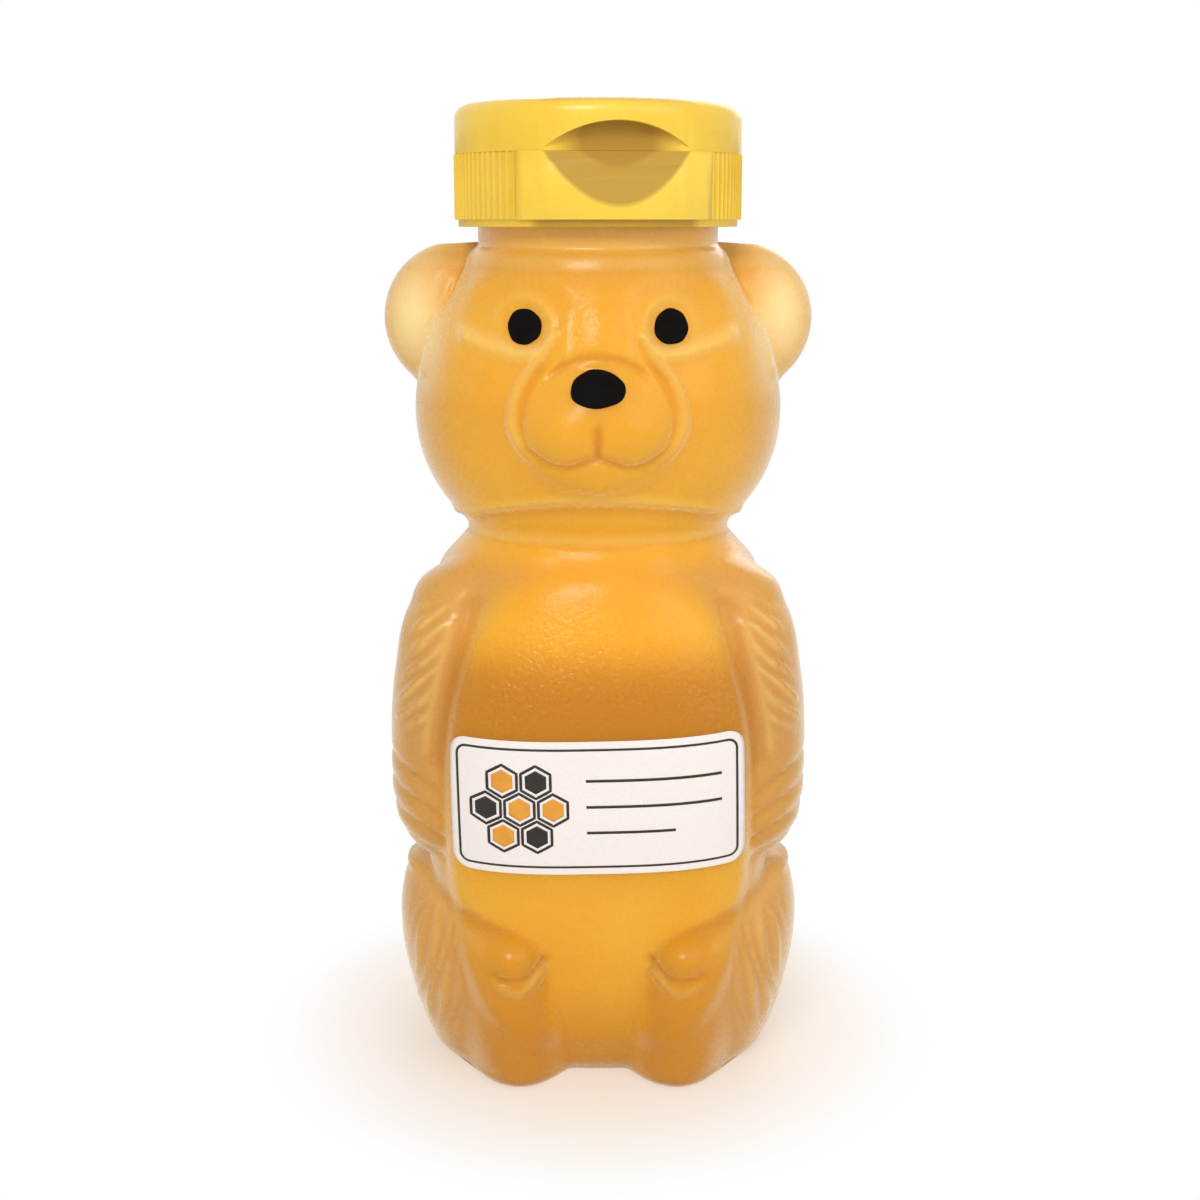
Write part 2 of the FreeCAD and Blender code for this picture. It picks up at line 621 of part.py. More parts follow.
top_edges = [
    f"Edge{number}"
    for number, edge in enumerate(lid_turned.Shape.Edges, start=1)
    if edge.BoundBox.ZMin > sizes.cap_parting + sizes.lid_height - sizes.lid_wall
    and edge.BoundBox.XLength > sizes.lid_diameter - sizes.lid_wall
]
lid_rounding = lid_body.newObject("PartDesign::Fillet", "lid_rounding")
lid_rounding.Base = (lid_turned, top_edges)
lid_rounding.setExpression("Radius", "Sizes.lid_round")
lid_body.Tip = lid_rounding
recess_plane = "(Sizes.cap_diameter / 2 - Sizes.recess_depth)"
lid_backing = shared(
    "lid_backing",
    upright(
        "lid_filler", f"2 * {lid_inside} + Sizes.join_overlap",
        "Sizes.cap_parting", f"{lid_under} + Sizes.join_overlap",
    ),
    block(
        "lid_backing_room",
        ("-Sizes.lid_diameter / 2", "-Sizes.lid_diameter / 2", "Sizes.cap_parting"),
        ("Sizes.lid_diameter", f"Sizes.lid_diameter / 2 - {recess_plane} + Sizes.lid_wall", "Sizes.lid_height"),
    ),
)
lid_tab = block(
    "lid_tab",
    ("-Sizes.hinge_length / 2", lid_inside, "Sizes.cap_parting"),
    ("Sizes.hinge_length", f"{hinge_back} - {lid_inside}", "Sizes.hinge_tab"),
)
half_chord_squared = "Sizes.recess_depth * (Sizes.cap_diameter - Sizes.recess_depth)"
arch_radius = f"(({half_chord_squared} + Sizes.lid_arch ^ 2) / (2 * Sizes.lid_arch))"
lid_recess = level_rod(
    "lid_recess", (1, 0, 0), f"2 * {arch_radius}", "Sizes.recess_depth + Sizes.cut_overrun",
    ("0", f"-{recess_plane}", f"Sizes.cap_parting + Sizes.lid_arch - {arch_radius}"),
)
lid_groove = level_rod(
    "lid_groove", (0, 1, 0), hinge_room, "Sizes.hinge_length + 2 * Sizes.cut_overrun",
    ("-Sizes.hinge_length / 2 - Sizes.cut_overrun", hinge_back, "Sizes.cap_parting"),
)
lid_blank = joined("lid_blank", [lid_body, lid_backing, lid_tab])
lid = clocked(cut("lid", cut("lid_arched", lid_blank, lid_recess), lid_groove))

# Every feature must be sound, and each node one valid solid, before it is written.
document.recompute()
for item in document.Objects:
    if "Invalid" in item.State or "Error" in item.State:
        raise RuntimeError(f"{item.Label} failed: {item.getStatusString()}")
nodes = {
    "bottle": bottle,
    "honey": honey,
    "label": label,
    "left_eye": eyes[0],
    "right_eye": eyes[1],
    "nose": nose,
    "seal_ring": seal_ring,
    "cap_base": cap_base,
    "hinge_web": hinge_web,
    "lid": lid,
}
os.makedirs("parts", exist_ok=True)
for name, item in nodes.items():
    item.Label = name
    if item.Shape.isNull() or not item.Shape.isValid() or len(item.Shape.Solids) != 1:
        raise RuntimeError(f"{name} is not one valid solid")
    item.Shape.exportStep(f"parts/{name}.step")
    print(f"{name}: {item.Shape.Volume / 1000:.2f} ml")
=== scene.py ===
import math

import bpy
import numpy as np
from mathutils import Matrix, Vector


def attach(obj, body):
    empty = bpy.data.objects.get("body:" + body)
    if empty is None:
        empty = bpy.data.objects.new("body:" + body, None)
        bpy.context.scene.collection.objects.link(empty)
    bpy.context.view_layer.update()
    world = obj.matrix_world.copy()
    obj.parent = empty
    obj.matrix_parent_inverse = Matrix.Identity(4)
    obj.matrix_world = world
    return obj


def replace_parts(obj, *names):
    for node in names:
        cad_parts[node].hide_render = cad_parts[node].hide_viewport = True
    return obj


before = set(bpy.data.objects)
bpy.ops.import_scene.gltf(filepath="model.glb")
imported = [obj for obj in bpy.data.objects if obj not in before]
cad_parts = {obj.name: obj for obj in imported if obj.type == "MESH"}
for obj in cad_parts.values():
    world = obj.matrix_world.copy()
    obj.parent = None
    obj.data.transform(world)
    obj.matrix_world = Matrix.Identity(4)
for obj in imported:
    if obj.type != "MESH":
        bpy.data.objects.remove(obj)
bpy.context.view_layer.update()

# Bear shell: the bottle itself, blown in one piece from a soft clear plastic that is frosted by its mould.
# The sculpted bear, the hollow ears and the threaded neck are all one thin skin.
# All sizes are in millimetres, the bear faces -Y, and angles round the neck start at its front.
MILLIMETRE = 0.001
WALL = 0.5
TORSO_HALVES = (28.2, 26.8)
TORSO_HEIGHT = 82.0
HEAD_HALVES = (27.3, 24.6)
HEAD_HEIGHT = 40.6
ARM_HALVES = (10.9, 12.5)
ARM_SPAN = (33.3, 44.7)
ARM_PLACE = (23.0, -7.8)
ARM_LEAN = 5.5
THIGH_HALVES = (13.5, 18.5)
THIGH_SPAN = (0.0, 30.4)
THIGH_PLACE = (18.0, -4.0)
EAR = ((21.2, 1.5, 112.3), (10.7, 6.0, 11.0))
MUZZLE = ((0.0, -17.4, 98.0), (12.5, 10.2, 10.5))
# Level of the foot, the side of its middle, how far its front stands ahead of the neck axis, and how fast
# it falls away inwards and outwards.
FOOT_FRONTS = (
    (0, 11.8, 23.9, 0.11, 0.12), (0.6, 11.8, 24.8, 0.11, 0.12), (2, 11.8, 25.5, 0.11, 0.12),
    (6, 12.0, 26.1, 0.115, 0.10), (12, 12.2, 26.6, 0.13, 0.075), (17, 12.6, 26.8, 0.16, 0.068),
    (20.5, 12.8, 26.6, 0.18, 0.07), (23, 12.9, 25.5, 0.18, 0.075), (25, 12.9, 22.5, 0.18, 0.085),
    (27.5, 12.9, 15.0, 0.18, 0.1), (31.5, 12.9, -20.0, 0.18, 0.18),
)
# Width of the fillet that joins each form to the others.
HEAD_EASE = 1.6
ARM_EASE = 1.4
THIGH_EASE = 1.6
EAR_EASE = 1.8
MUZZLE_EASE = 1.6
FOOT_EASE = 1.6
NECK_EASE = 0.5
NECK_FOOT_EASE = 0.2
NECK_RADIUS = 17.55
NECK_BORE = 15.4
NECK_FOOT = 122.7
BORE_FOOT = 122.9
LIP_LEVEL = 133.3
LIP_ROUND = 0.35
THREAD_PITCH = 4.23
THREAD_START = 126.2
THREAD_TURNS = 1.11
THREAD_HEIGHT = 1.15
THREAD_HALF_ROOT = 1.1
THREAD_HALF_CREST = 0.45
THREAD_FADE = 0.03
BASE_RING = 15.5
BASE_RISE = 1.0
# The base is hollow inside its ring: the distance from the ring, and the share of the full rise there.
BASE_HOLLOW = ((2.0, 1.0), (1.6, 0.92), (1.0, 0.6), (0.5, 0.2), (0.0, 0.0))
SKIN_COLUMNS = 304
SKIN_ROWS = 252
SKIN_TOP = 122.55
NECK_ROWS = 34

# Level, half width and half depth of each form as shares of its size. Torso and head also say how square
# their sections are. The front of the torso has its own half depths and squareness, because it is flatter
# than the back and draws in between the feet.
TORSO_FRONT_SHARES = (
    (0.0, 0.68, 2.3), (0.02, 0.74, 2.4), (0.05, 0.785, 2.5), (0.12, 0.83, 2.6), (0.22, 0.88, 2.75),
    (0.32, 0.94, 2.85), (0.44, 0.985, 2.9), (0.56, 1.0, 2.9), (0.66, 0.985, 2.8), (0.76, 0.935, 2.5),
    (0.86, 0.865, 2.3), (0.93, 0.79, 2.1), (1.0, 0.69, 2.0), (1.04, 0.63, 2.0), (1.12, 0.1, 2.0),
)
TORSO_SHARES = (
    (0.0, 0.76, 0.80, 2.2), (0.018, 0.84, 0.89, 2.3), (0.05, 0.895, 0.945, 2.4), (0.17, 0.955, 0.985, 2.4),
    (0.37, 0.94, 1.0, 2.4), (0.5, 0.965, 0.995, 2.4), (0.61, 0.98, 0.99, 2.4), (0.76, 0.945, 0.935, 2.3),
    (0.86, 0.885, 0.865, 2.2), (0.93, 0.84, 0.79, 2.1), (0.965, 0.75, 0.74, 2.0), (1.0, 0.665, 0.69, 2.0),
    (1.04, 0.62, 0.63, 2.0), (1.12, 0.1, 0.1, 2.0),
)
HEAD_SHARES = (
    (-0.16, 0.1, 0.1, 2), (-0.06, 0.61, 0.65, 2), (0.0, 0.707, 0.75, 2), (0.05, 0.784, 0.815, 2),
    (0.15, 0.896, 0.905, 2), (0.27, 0.972, 0.97, 2), (0.4, 1.0, 1.0, 2), (0.54, 0.982, 0.995, 2),
    (0.69, 0.916, 0.95, 2), (0.82, 0.81, 0.87, 2), (0.92, 0.73, 0.79, 2), (1.0, 0.66, 0.71, 2),
    (1.04, 0.56, 0.62, 2), (1.1, 0.1, 0.1, 2),
)
ARM_SHARES = (
    (-0.02, 0.01, 0.01), (0.0, 0.385, 0.48), (0.035, 0.55, 0.72), (0.09, 0.715, 0.88), (0.18, 0.84, 0.97),
    (0.33, 0.934, 1.0), (0.62, 1.0, 0.93), (0.83, 0.9, 0.76), (0.95, 0.63, 0.54), (1.0, 0.22, 0.3),
    (1.02, 0.01, 0.01),
)
THIGH_SHARES = (
    (0.0, 0.50, 0.66), (0.04, 0.585, 0.74), (0.14, 0.70, 0.84), (0.34, 0.84, 0.95), (0.6, 0.95, 1.0),
    (0.82, 0.935, 0.84), (0.93, 0.86, 0.62), (1.0, 0.72, 0.42), (1.04, 0.01, 0.01),
)

# Sculpted swellings and hollows: side and level of the middle, half width, half height and relief.
SWELLINGS = (
    (10.3, 112.4, 6.4, 5.6, -1.2), (10.3, 112.4, 2.9, 2.9, 0.6), (14.6, 102.5, 5.5, 4.6, 0.5),
    (0.0, 104.2, 4.3, 3.3, 0.5), (0.0, 112.0, 6.5, 5.5, 0.6), (0.0, 106.8, 4.2, 0.9, -0.7),
    (5.2, 97.6, 4.4, 4.0, 0.9), (0.0, 91.0, 5.0, 1.3, 0.6), (0.0, 90.4, 0.8, 0.7, 0.45),
    (12.5, 21.5, 2.8, 2.1, 1.5), (11.2, 18.0, 2.0, 1.5, 0.6), (9.0, 79.3, 2.8, 1.5, 0.5),
)
# Sculpted lines that run up and down: relief, half width and the points (side, level) that each passes.
UPRIGHT_LINES = (
    (0.7, 0.7, ((8.2, 93.6), (10.2, 95.6), (11.7, 98.5), (11.7, 100.8), (10.2, 105.2), (7.6, 108.7),
                (5.6, 112.0))),
    (-0.5, 0.55, ((9.6, 96.0), (10.5, 98.5), (10.5, 100.8), (9.0, 105.0), (6.6, 108.0))),
    (-0.9, 0.55, ((0.0, 94.2), (0.0, 99.8))),
    (0.2, 0.6, ((3.9, 106.5), (4.3, 110.0), (4.0, 115.0))),
    (0.42, 0.7, ((25.2, 50.0), (25.0, 52.0), (24.0, 58.0), (22.6, 64.0), (21.6, 68.0), (21.2, 70.6))),
    (-0.6, 1.4, ((23.2, 48.0), (23.0, 52.0), (22.0, 58.0), (20.5, 64.0), (19.2, 68.8), (17.8, 74.0))),
    (0.4, 0.7, ((25.6, 104.0), (24.4, 109.0), (22.6, 115.0), (20.4, 121.5))),
)
# Sculpted lines that run from side to side, in the same way.
LEVEL_LINES = (
    (-0.9, 0.6, ((-2.5, 95.4), (1.5, 94.3), (4.4, 93.4), (7.0, 94.0), (10.6, 96.4))),
    (0.8, 1.2, ((7.0, 108.3), (12.0, 108.8), (20.0, 111.2))),
    (-0.6, 0.55, ((-2.0, 108.2), (2.5, 107.9), (5.0, 107.0), (7.2, 105.4))),
    (-0.8, 0.5, ((6.6, 21.6), (8.6, 20.9), (11.2, 18.9), (13.4, 19.0), (15.8, 20.0))),
    (0.6, 0.42, ((6.6, 20.0), (8.8, 19.2), (11.3, 16.9), (13.2, 17.3), (15.6, 18.6))),
    (0.6, 0.6, ((-3.0, 88.6), (8.0, 88.0), (14.0, 86.8), (19.0, 85.2), (22.0, 84.2))),
    (-0.5, 0.9, ((-3.0, 86.6), (8.0, 86.1), (14.0, 85.2), (18.0, 84.2))),
    (0.6, 0.6, ((-3.0, 82.0), (10.0, 82.0), (22.0, 81.6))),
    (-0.5, 0.55, ((22.5, 44.4), (26.0, 46.6), (32.0, 48.8))),
    (-0.5, 0.55, ((22.0, 40.6), (26.0, 42.8), (32.0, 45.0))),
    (-0.5, 0.55, ((21.5, 36.8), (25.5, 39.0), (32.0, 41.2))),
    (-0.4, 0.5, ((21.5, 33.8), (25.5, 35.4), (31.0, 37.4))),
    (0.3, 1.4, ((16.0, 23.0), (23.0, 26.0), (30.0, 30.2))),
    (-0.3, 1.2, ((17.0, 26.2), (23.0, 28.8), (28.0, 32.4))),
)
EYE_PLACE = (10.3, 112.4)
# Radius, half width and relief of the raised rims round the eyes.
EYE_RING = (3.9, 0.75, 0.4)
BROW_RING = (8.2, 1.7, 0.4)
BIB_PLACE = (0.0, 42.0)
BIB_HALVES = (21.6, 35.5)
BIB_SQUARE = 2.7
BIB_RELIEF = 1.0
# Height and pitch of the combed fur, and the level and side of the arm's inner edge, where its fur begins.
ARM_FUR = (0.75, 1.95)
THIGH_FUR = (0.38, 1.7)
BROW_FUR = (0.11, 1.2)
FUR_EDGE = ((52, 25.0), (58, 24.0), (64, 22.6), (68.8, 21.4), (74.5, 20.3))
# Level and side of the line where the legs meet the belly.
LEG_EDGE = ((0, 6.5), (6, 6.5), (12, 7.0), (18, 7.2), (22, 8.0), (24, 9.6), (26, 13.5), (28.5, 21.0))
# Level and brightness of the honey behind the wall: darkest in the belly's middle, and bright in the chest.
GLOW_BY_LEVEL = (
    (0, 0.25), (8, 0.4), (18, 0.85), (28, 0.95), (42, 0.6), (57, 0.05), (63, 0.2), (69, 0.9), (76, 0.8),
    (84, 0.95), (92, 0.9), (102, 0.8), (111, 0.9), (122, 0.6),
)
# The back is evenly bright at every level.
BACK_GLOW = 0.85
# Levels over which the chest's tints end and those of the head and of its crown begin.
CHEST_END = (76, 80)
HEAD_START = (84, 90)
CROWN_START = (116, 121)
# Side and level of the bright middle of each thin ear, and its half sizes. Its brightness is partly the
# paler tone of the thin honey there and partly a painted glow of light shining through.
EAR_SHINE = ((26.8, 112.6), (4.6, 7.6))
# Relief at which the painted highlight on ridges and the painted shade in grooves are full.
FULL_CREST = 0.8
FULL_GROOVE = 0.9


def along(points, at):
    """A smooth curve through given (place, value) points: a cubic over each gap, with the slope at
    a point taken from its two neighbours, and level past both ends."""
    knots, values = np.array(points, float).T
    slopes = np.gradient(values, knots)
    gap = np.clip(np.searchsorted(knots, at) - 1, 0, len(knots) - 2)
    span = knots[gap + 1] - knots[gap]
    share = np.clip((at - knots[gap]) / span, 0, 1)
    rise = values[gap + 1] - values[gap]
    first = span * slopes[gap]
    last = span * slopes[gap + 1]
    curve = values[gap] + first * share + (3 * rise - 2 * first - last) * share**2
    return curve + (first + last - 2 * rise) * share**3


def step(low, high, at):
    """An S curve from 0 at low to 1 at high: three times the squared share less twice the cubed share."""
    share = np.clip((at - low) / (high - low), 0, 1)
    return share * share * (3 - 2 * share)


def between(rise, fall, at):
    """1 between two S curves and 0 outside: up over the range of the rise, down over that of the fall."""
    return step(*rise, at) * (1 - step(*fall, at))


def bell(distance, half_width):
    """A bell curve: e to the minus squared distance in half widths."""
    return np.exp(-((distance / half_width) ** 2))


def smooth_larger(first, second, ease):
    """The larger of two reaches, with a round fillet where they differ by less than ease."""
    share = np.clip(0.5 + 0.5 * (first - second) / ease, 0, 1)
    return second + (first - second) * share + ease * share * (1 - share)


def section_reach(angle, halves, shares, place, front_shares=None):
    """How far a superellipse round the neck axis reaches at an angle: each direction share over its half
    size to the power of the squareness, summed, to the power of minus one over the squareness."""
    table = np.array(shares)
    half_width = halves[0] * along(table[:, (0, 1)], place)
    half_depth = halves[1] * along(table[:, (0, 2)], place)
    square = along(table[:, (0, 3)], place)
    if front_shares:
        front = np.array(front_shares)
        half_depth = np.where(np.cos(angle) > 0, halves[1] * along(front[:, (0, 1)], place), half_depth)
        square = np.where(np.cos(angle) > 0, along(front[:, (0, 2)], place), square)
    wide = np.abs(np.sin(angle)) / half_width
    deep = np.abs(np.cos(angle)) / half_depth
    return (wide**square + deep**square) ** (-1 / square)


def oval_reach(angle, middle, halves):
    """How far a level ray from the neck axis runs to the far side of an oval off the axis: the larger root
    of a square equation. A ray that misses the oval falls short of its nearest point."""
    wide = np.abs(np.sin(angle))
    deep = -np.cos(angle)
    square = (wide / halves[0]) ** 2 + (deep / halves[1]) ** 2
    half = wide * middle[0] / halves[0] ** 2 + deep * middle[1] / halves[1] ** 2
    rest = (middle[0] / halves[0]) ** 2 + (middle[1] / halves[1]) ** 2 - 1
    spread = half**2 - square * rest
    return (half + np.where(spread > 0, 1, 2.5) * np.sign(spread) * np.sqrt(np.abs(spread))) / square


def ball_reach(angle, level, form):
    """The reach of an ellipsoid: that of its oval at this level, and none above or below it."""
    middle, halves = form
    share = (level - middle[2]) / halves[2]
    shrink = np.sqrt(np.clip(1 - share**2, 1e-4, 1))
    reach = oval_reach(angle, middle, (halves[0] * shrink, halves[1] * shrink))
    return np.where(np.abs(share) < 1, reach, 0)


def limb_reach(angle, level, halves, span, middle, lean, shares):
    """The reach of an upright limb: an oval whose size follows its shares and whose middle leans inwards."""
    table = np.array(shares)
    place = (level - span[0]) / span[1]
    half_width = halves[0] * along(table[:, (0, 1)], place)
    half_depth = halves[1] * along(table[:, (0, 2)], place)
    inside = (place > table[0, 0]) & (place < table[-1, 0])
    reach = oval_reach(angle, (middle[0] - lean * np.clip(place, 0, 1), middle[1]), (half_width, half_depth))
    return np.where(inside, reach, 0)


def bear_reach(angle, level):
    """The bear's skin as the distance from the neck axis at an angle and a level: the largest reach of its
    torso, head, limbs, ears, muzzle and neck, filleted together. The feet are added later."""
    reach = section_reach(angle, TORSO_HALVES, TORSO_SHARES, level / TORSO_HEIGHT, TORSO_FRONT_SHARES)
    head = section_reach(angle, HEAD_HALVES, HEAD_SHARES, (level - TORSO_HEIGHT) / HEAD_HEIGHT)
    reach = smooth_larger(reach, head, HEAD_EASE)
    arms = limb_reach(angle, level, ARM_HALVES, ARM_SPAN, ARM_PLACE, ARM_LEAN, ARM_SHARES)
    reach = smooth_larger(reach, arms, ARM_EASE)
    thighs = limb_reach(angle, level, THIGH_HALVES, THIGH_SPAN, THIGH_PLACE, 0, THIGH_SHARES)
    reach = smooth_larger(reach, thighs, THIGH_EASE)
    reach = smooth_larger(reach, ball_reach(angle, level, EAR), EAR_EASE)
    reach = smooth_larger(reach, ball_reach(angle, level, MUZZLE), MUZZLE_EASE)
    return smooth_larger(reach, NECK_RADIUS, NECK_EASE)


def line_relief(lines, across, place):
    """Bell-shaped ridges or grooves along smooth lines, each fading out over two millimetres at its ends."""
    total = np.zeros(np.broadcast(across, place).shape)
    for relief, half_width, points in lines:
        start, end = points[0][1], points[-1][1]
        fade = between((start - 0.4, start + 1.6), (end - 1.6, end + 0.4), place)
        middle = along([(level, side) for side, level in points], place)
        total += relief * fade * bell(across - middle, half_width)
    return total


def strokes(across, pitch, power):
    """Combed strokes: a cosine from 0 to 1 across each stroke, to a power that narrows its ridge."""
    return (0.5 + 0.5 * np.cos(2 * math.pi * across / pitch)) ** power


def fur_relief(side, level):
    """The fur on arms, thighs and forehead: strokes that slant or sway, each in a zone with soft edges."""
    off_edge = side - along(FUR_EDGE, level)
    slant = 0.67 * side + 0.74 * level + 0.15 * np.sin(0.9 * level)
    arm = between((0.3, 1.2), (4.0, 6.0), off_edge) * between((52, 56), (70, 73), level)
    arm *= (ARM_FUR[0] + 0.2 * np.sin(2.3 * level)) * strokes(slant, ARM_FUR[1], 2)
    sway = side + 0.22 * (level - 18) + 0.45 * np.sin(0.55 * level + 0.9 * side)
    thigh = between((19.5, 21.5), (26, 29.5), side) * step(5, 10, level)
    thigh *= 1 - step(24, 28, level - 0.5 * (side - 24))
    thigh *= THIGH_FUR[0] * strokes(sway, THIGH_FUR[1], 2)
    brow = between((116.2, 117.5), (119.5, 121), level) * between((5, 7), (12, 15), side)
    brow *= BROW_FUR[0] * strokes(side + 0.1 * level, BROW_FUR[1], 1)
    return arm + thigh + brow


def bib_inside(side, level):
    """How far inside the belly's smooth bib a place lies: one less the sum of its two shares to a power."""
    wide = np.abs((side - BIB_PLACE[0]) / BIB_HALVES[0]) ** BIB_SQUARE
    return 1 - wide - np.abs((level - BIB_PLACE[1]) / BIB_HALVES[1]) ** BIB_SQUARE


def fine_relief(side, level):
    """The narrow ridges and grooves of the sculpting: its lines, the rims of the eyes and the fur."""
    flipped = [(depth, width, [(y, x) for x, y in points]) for depth, width, points in LEVEL_LINES]
    eye = np.hypot(side - EYE_PLACE[0], level - EYE_PLACE[1])
    rim = EYE_RING[2] * bell(eye - EYE_RING[0], EYE_RING[1]) * (0.5 + 0.5 * step(-3, 3, EYE_PLACE[0] - side))
    lines = line_relief(UPRIGHT_LINES, side, level) + line_relief(flipped, level, side)
    return lines + rim + fur_relief(side, level)


def bear_relief(across, level):
    """The sculpted relief of the bear's front over its plain skin, from the front-view place alone."""
    side = np.abs(across)
    relief = fine_relief(side, level)
    for middle, height, half_width, half_height, depth in SWELLINGS:
        relief += depth * bell(side - middle, half_width) * bell(level - height, half_height)
    eye = np.hypot(side - EYE_PLACE[0], level - EYE_PLACE[1])
    brow = bell(eye - BROW_RING[0], BROW_RING[1]) * step(EYE_PLACE[1], EYE_PLACE[1] + 5, level)
    relief += BROW_RING[2] * brow * step(1.5, 7, side)
    relief += BIB_RELIEF * step(-0.2, 0.2, bib_inside(side, level))
    return relief * (1 - step(117, 120.5, level))


def foot_bulge(side, depth, level):
    """How far the feet stand out ahead of the skin's depth: a ridge that falls away with the square of the
    distance from its middle, filleted to the skin."""
    table = np.array(FOOT_FRONTS)
    off_middle = side - along(table[:, (0, 1)], level)
    fall = np.where(off_middle < 0, along(table[:, (0, 3)], level), along(table[:, (0, 4)], level))
    ridge = along(table[:, (0, 2)], level) - fall * off_middle**2
    return smooth_larger(depth, ridge, FOOT_EASE) - depth


def skin_normals(points):
    """Outward unit normals of a grid that runs round: the step along a row crossed with the step up."""
    around = np.roll(points, -1, axis=1) - np.roll(points, 1, axis=1)
    normals = np.cross(around, np.gradient(points, axis=0))
    return normals / np.linalg.norm(normals, axis=2, keepdims=True)


def round_points(angle, reach, level):
    """Points at an angle from the front, a distance from the neck axis and a level."""
    angle, reach, level = np.broadcast_arrays(angle, reach, level)
    return np.stack((reach * np.sin(angle), -reach * np.cos(angle), level), axis=-1)


def grid_part(first, rows, runs_round=True, poles=(None, None)):
    """The points and faces of a grid whose first point has this number: four neighbours make a face, rows
    run round or stay open, and a pole joins the first or the last row in a fan. Faces in the second half
    of a row start at the next corner, so that they split into triangles as a mirror image of the first."""
    height, width = rows.shape[:2]
    index = first + np.arange(height * width).reshape(height, width)
    after = np.roll(index, -1, axis=1)
    quads = np.stack((index[:-1], after[:-1], after[1:], index[1:]), axis=-1)
    quads[:, width // 2:] = np.roll(quads[:, width // 2:], -1, axis=-1)
    if not runs_round:
        quads = quads[:, :-1]
    points = [rows.reshape(-1, 3)]
    faces = quads.reshape(-1, 4).tolist()
    count = first + height * width
    for pole, left, right in ((poles[0], after[0], index[0]), (poles[1], index[-1], after[-1])):
        if pole is not None:
            points.append(np.array([pole], float))
            faces += np.stack((left, right, np.full(width, count)), axis=-1).tolist()
            count += 1
    return np.concatenate(points), faces


def grid_mesh(name, *grids, values=None):
    """A smooth mesh from grids of points in millimetres, each given as grid_part takes it. Values holds
    float attributes with one number for each point."""
    points, faces = np.zeros((0, 3)), []
    for grid in grids:
        more_points, more_faces = grid_part(len(points), **grid)
        points = np.concatenate((points, more_points))
        faces += more_faces
    mesh = bpy.data.meshes.new(name)
    mesh.from_pydata((points * MILLIMETRE).tolist(), [], faces)
    mesh.shade_smooth()
    for label, numbers in (values or {}).items():
        attribute = mesh.attributes.new(label, "FLOAT", "POINT")
        attribute.data.foreach_set("value", np.ascontiguousarray(numbers, np.float32).ravel())
    piece = bpy.data.objects.new(name, mesh)
    bpy.context.scene.collection.objects.link(piece)
    return piece


def crowded(count, low, high, density):
    """Places from low to high, closer together where the density is higher: equal steps of its sum."""
    fine = np.linspace(low, high, 4001)
    total = np.concatenate(([0], np.cumsum(density(0.5 * (fine[1:] + fine[:-1])))))
    return np.interp(np.linspace(0, total[-1], count), total, fine)


def thread_relief(angle, level):
    """The neck thread: a ridge of trapezium section that climbs one pitch a turn, with faded ends."""
    height = np.zeros(np.broadcast(angle, level).shape)
    for lap in range(2):
        turn = np.mod(angle - math.pi / 2, 2 * math.pi) / (2 * math.pi) + lap
        off = np.abs(level - THREAD_START - THREAD_PITCH * turn)
        ridge = np.clip((THREAD_HALF_ROOT - off) / (THREAD_HALF_ROOT - THREAD_HALF_CREST), 0, 1)
        fade = between((0, THREAD_FADE), (THREAD_TURNS - THREAD_FADE, THREAD_TURNS), turn)
        height = np.maximum(height, ridge * fade)
    return THREAD_HEIGHT * height


def column_density(angle):
    """More columns over the front, and most where the ears stand out."""
    return 0.6 + 1.7 * np.exp(-((angle / 1.2) ** 4)) + 4.2 * bell(np.abs(angle) - 1.42, 0.19)


def row_density(level):
    """More rows at the base, over the face and at the tops of the ears."""
    return 1 + 3 * bell(level, 1.5) + 0.7 * step(84, 90, level) + 5 * bell(level - 122.2, 1.6)


angles = crowded(SKIN_COLUMNS + 1, -math.pi, math.pi, column_density)[:-1]
levels = crowded(SKIN_ROWS, 0.0, SKIN_TOP, row_density)[:, None]
skin = round_points(angles, bear_reach(angles, levels), levels)
front = step(0.02, 0.25, np.cos(angles))
skin[..., 1] -= front * foot_bulge(np.abs(skin[..., 0]), -skin[..., 1], levels)
skin += skin_normals(skin) * (bear_relief(skin[..., 0], levels) * front)[..., None]

neck_levels = np.linspace(NECK_FOOT, LIP_LEVEL - LIP_ROUND, NECK_ROWS)[:, None]
neck_reach = NECK_RADIUS + thread_relief(angles, neck_levels)
neck_reach = smooth_larger(neck_reach, bear_reach(angles, neck_levels), NECK_FOOT_EASE)
turn_in = np.linspace(0, math.pi / 2, 4)[:, None]
lip_outside = round_points(
    angles, NECK_RADIUS - LIP_ROUND * (1 - np.cos(turn_in)), LIP_LEVEL - LIP_ROUND * (1 - np.sin(turn_in)))
lip_inside = round_points(
    angles, NECK_BORE + LIP_ROUND * (1 - np.sin(turn_in)), LIP_LEVEL - LIP_ROUND * (1 - np.cos(turn_in)))
bore_levels = np.linspace(LIP_LEVEL - 2, BORE_FOOT, 6)[:, None]

# The inner wall has few rows, each drawn in by the wall from the tightest place between its neighbours.
INNER_STEP = 12
blocks = np.arange(0, len(levels), INNER_STEP)
skin_reach = np.linalg.norm(skin[..., :2], axis=2)
tightest = np.minimum.reduceat(skin_reach, blocks, axis=0)
tightest = np.minimum(tightest[1:], tightest[:-1])
inner = skin[blocks[1:]]
inner[..., :2] *= ((tightest - WALL) / skin_reach[blocks[1:]])[..., None]
inner[..., 2] = np.maximum(inner[..., 2], BASE_RISE + 2 * WALL)
inner = inner[::-1]
base_shares = np.linspace(1, 0, 5)[1:-1, None, None]
base_ring = round_points(angles, BASE_RING, 0.0)
base_flat = base_ring + (skin[0] * (1, 1, 0) - base_ring) * base_shares
hollow = np.array(BASE_HOLLOW)
base_hollow = round_points(angles, BASE_RING - hollow[:, :1], BASE_RISE * hollow[:, 1:])
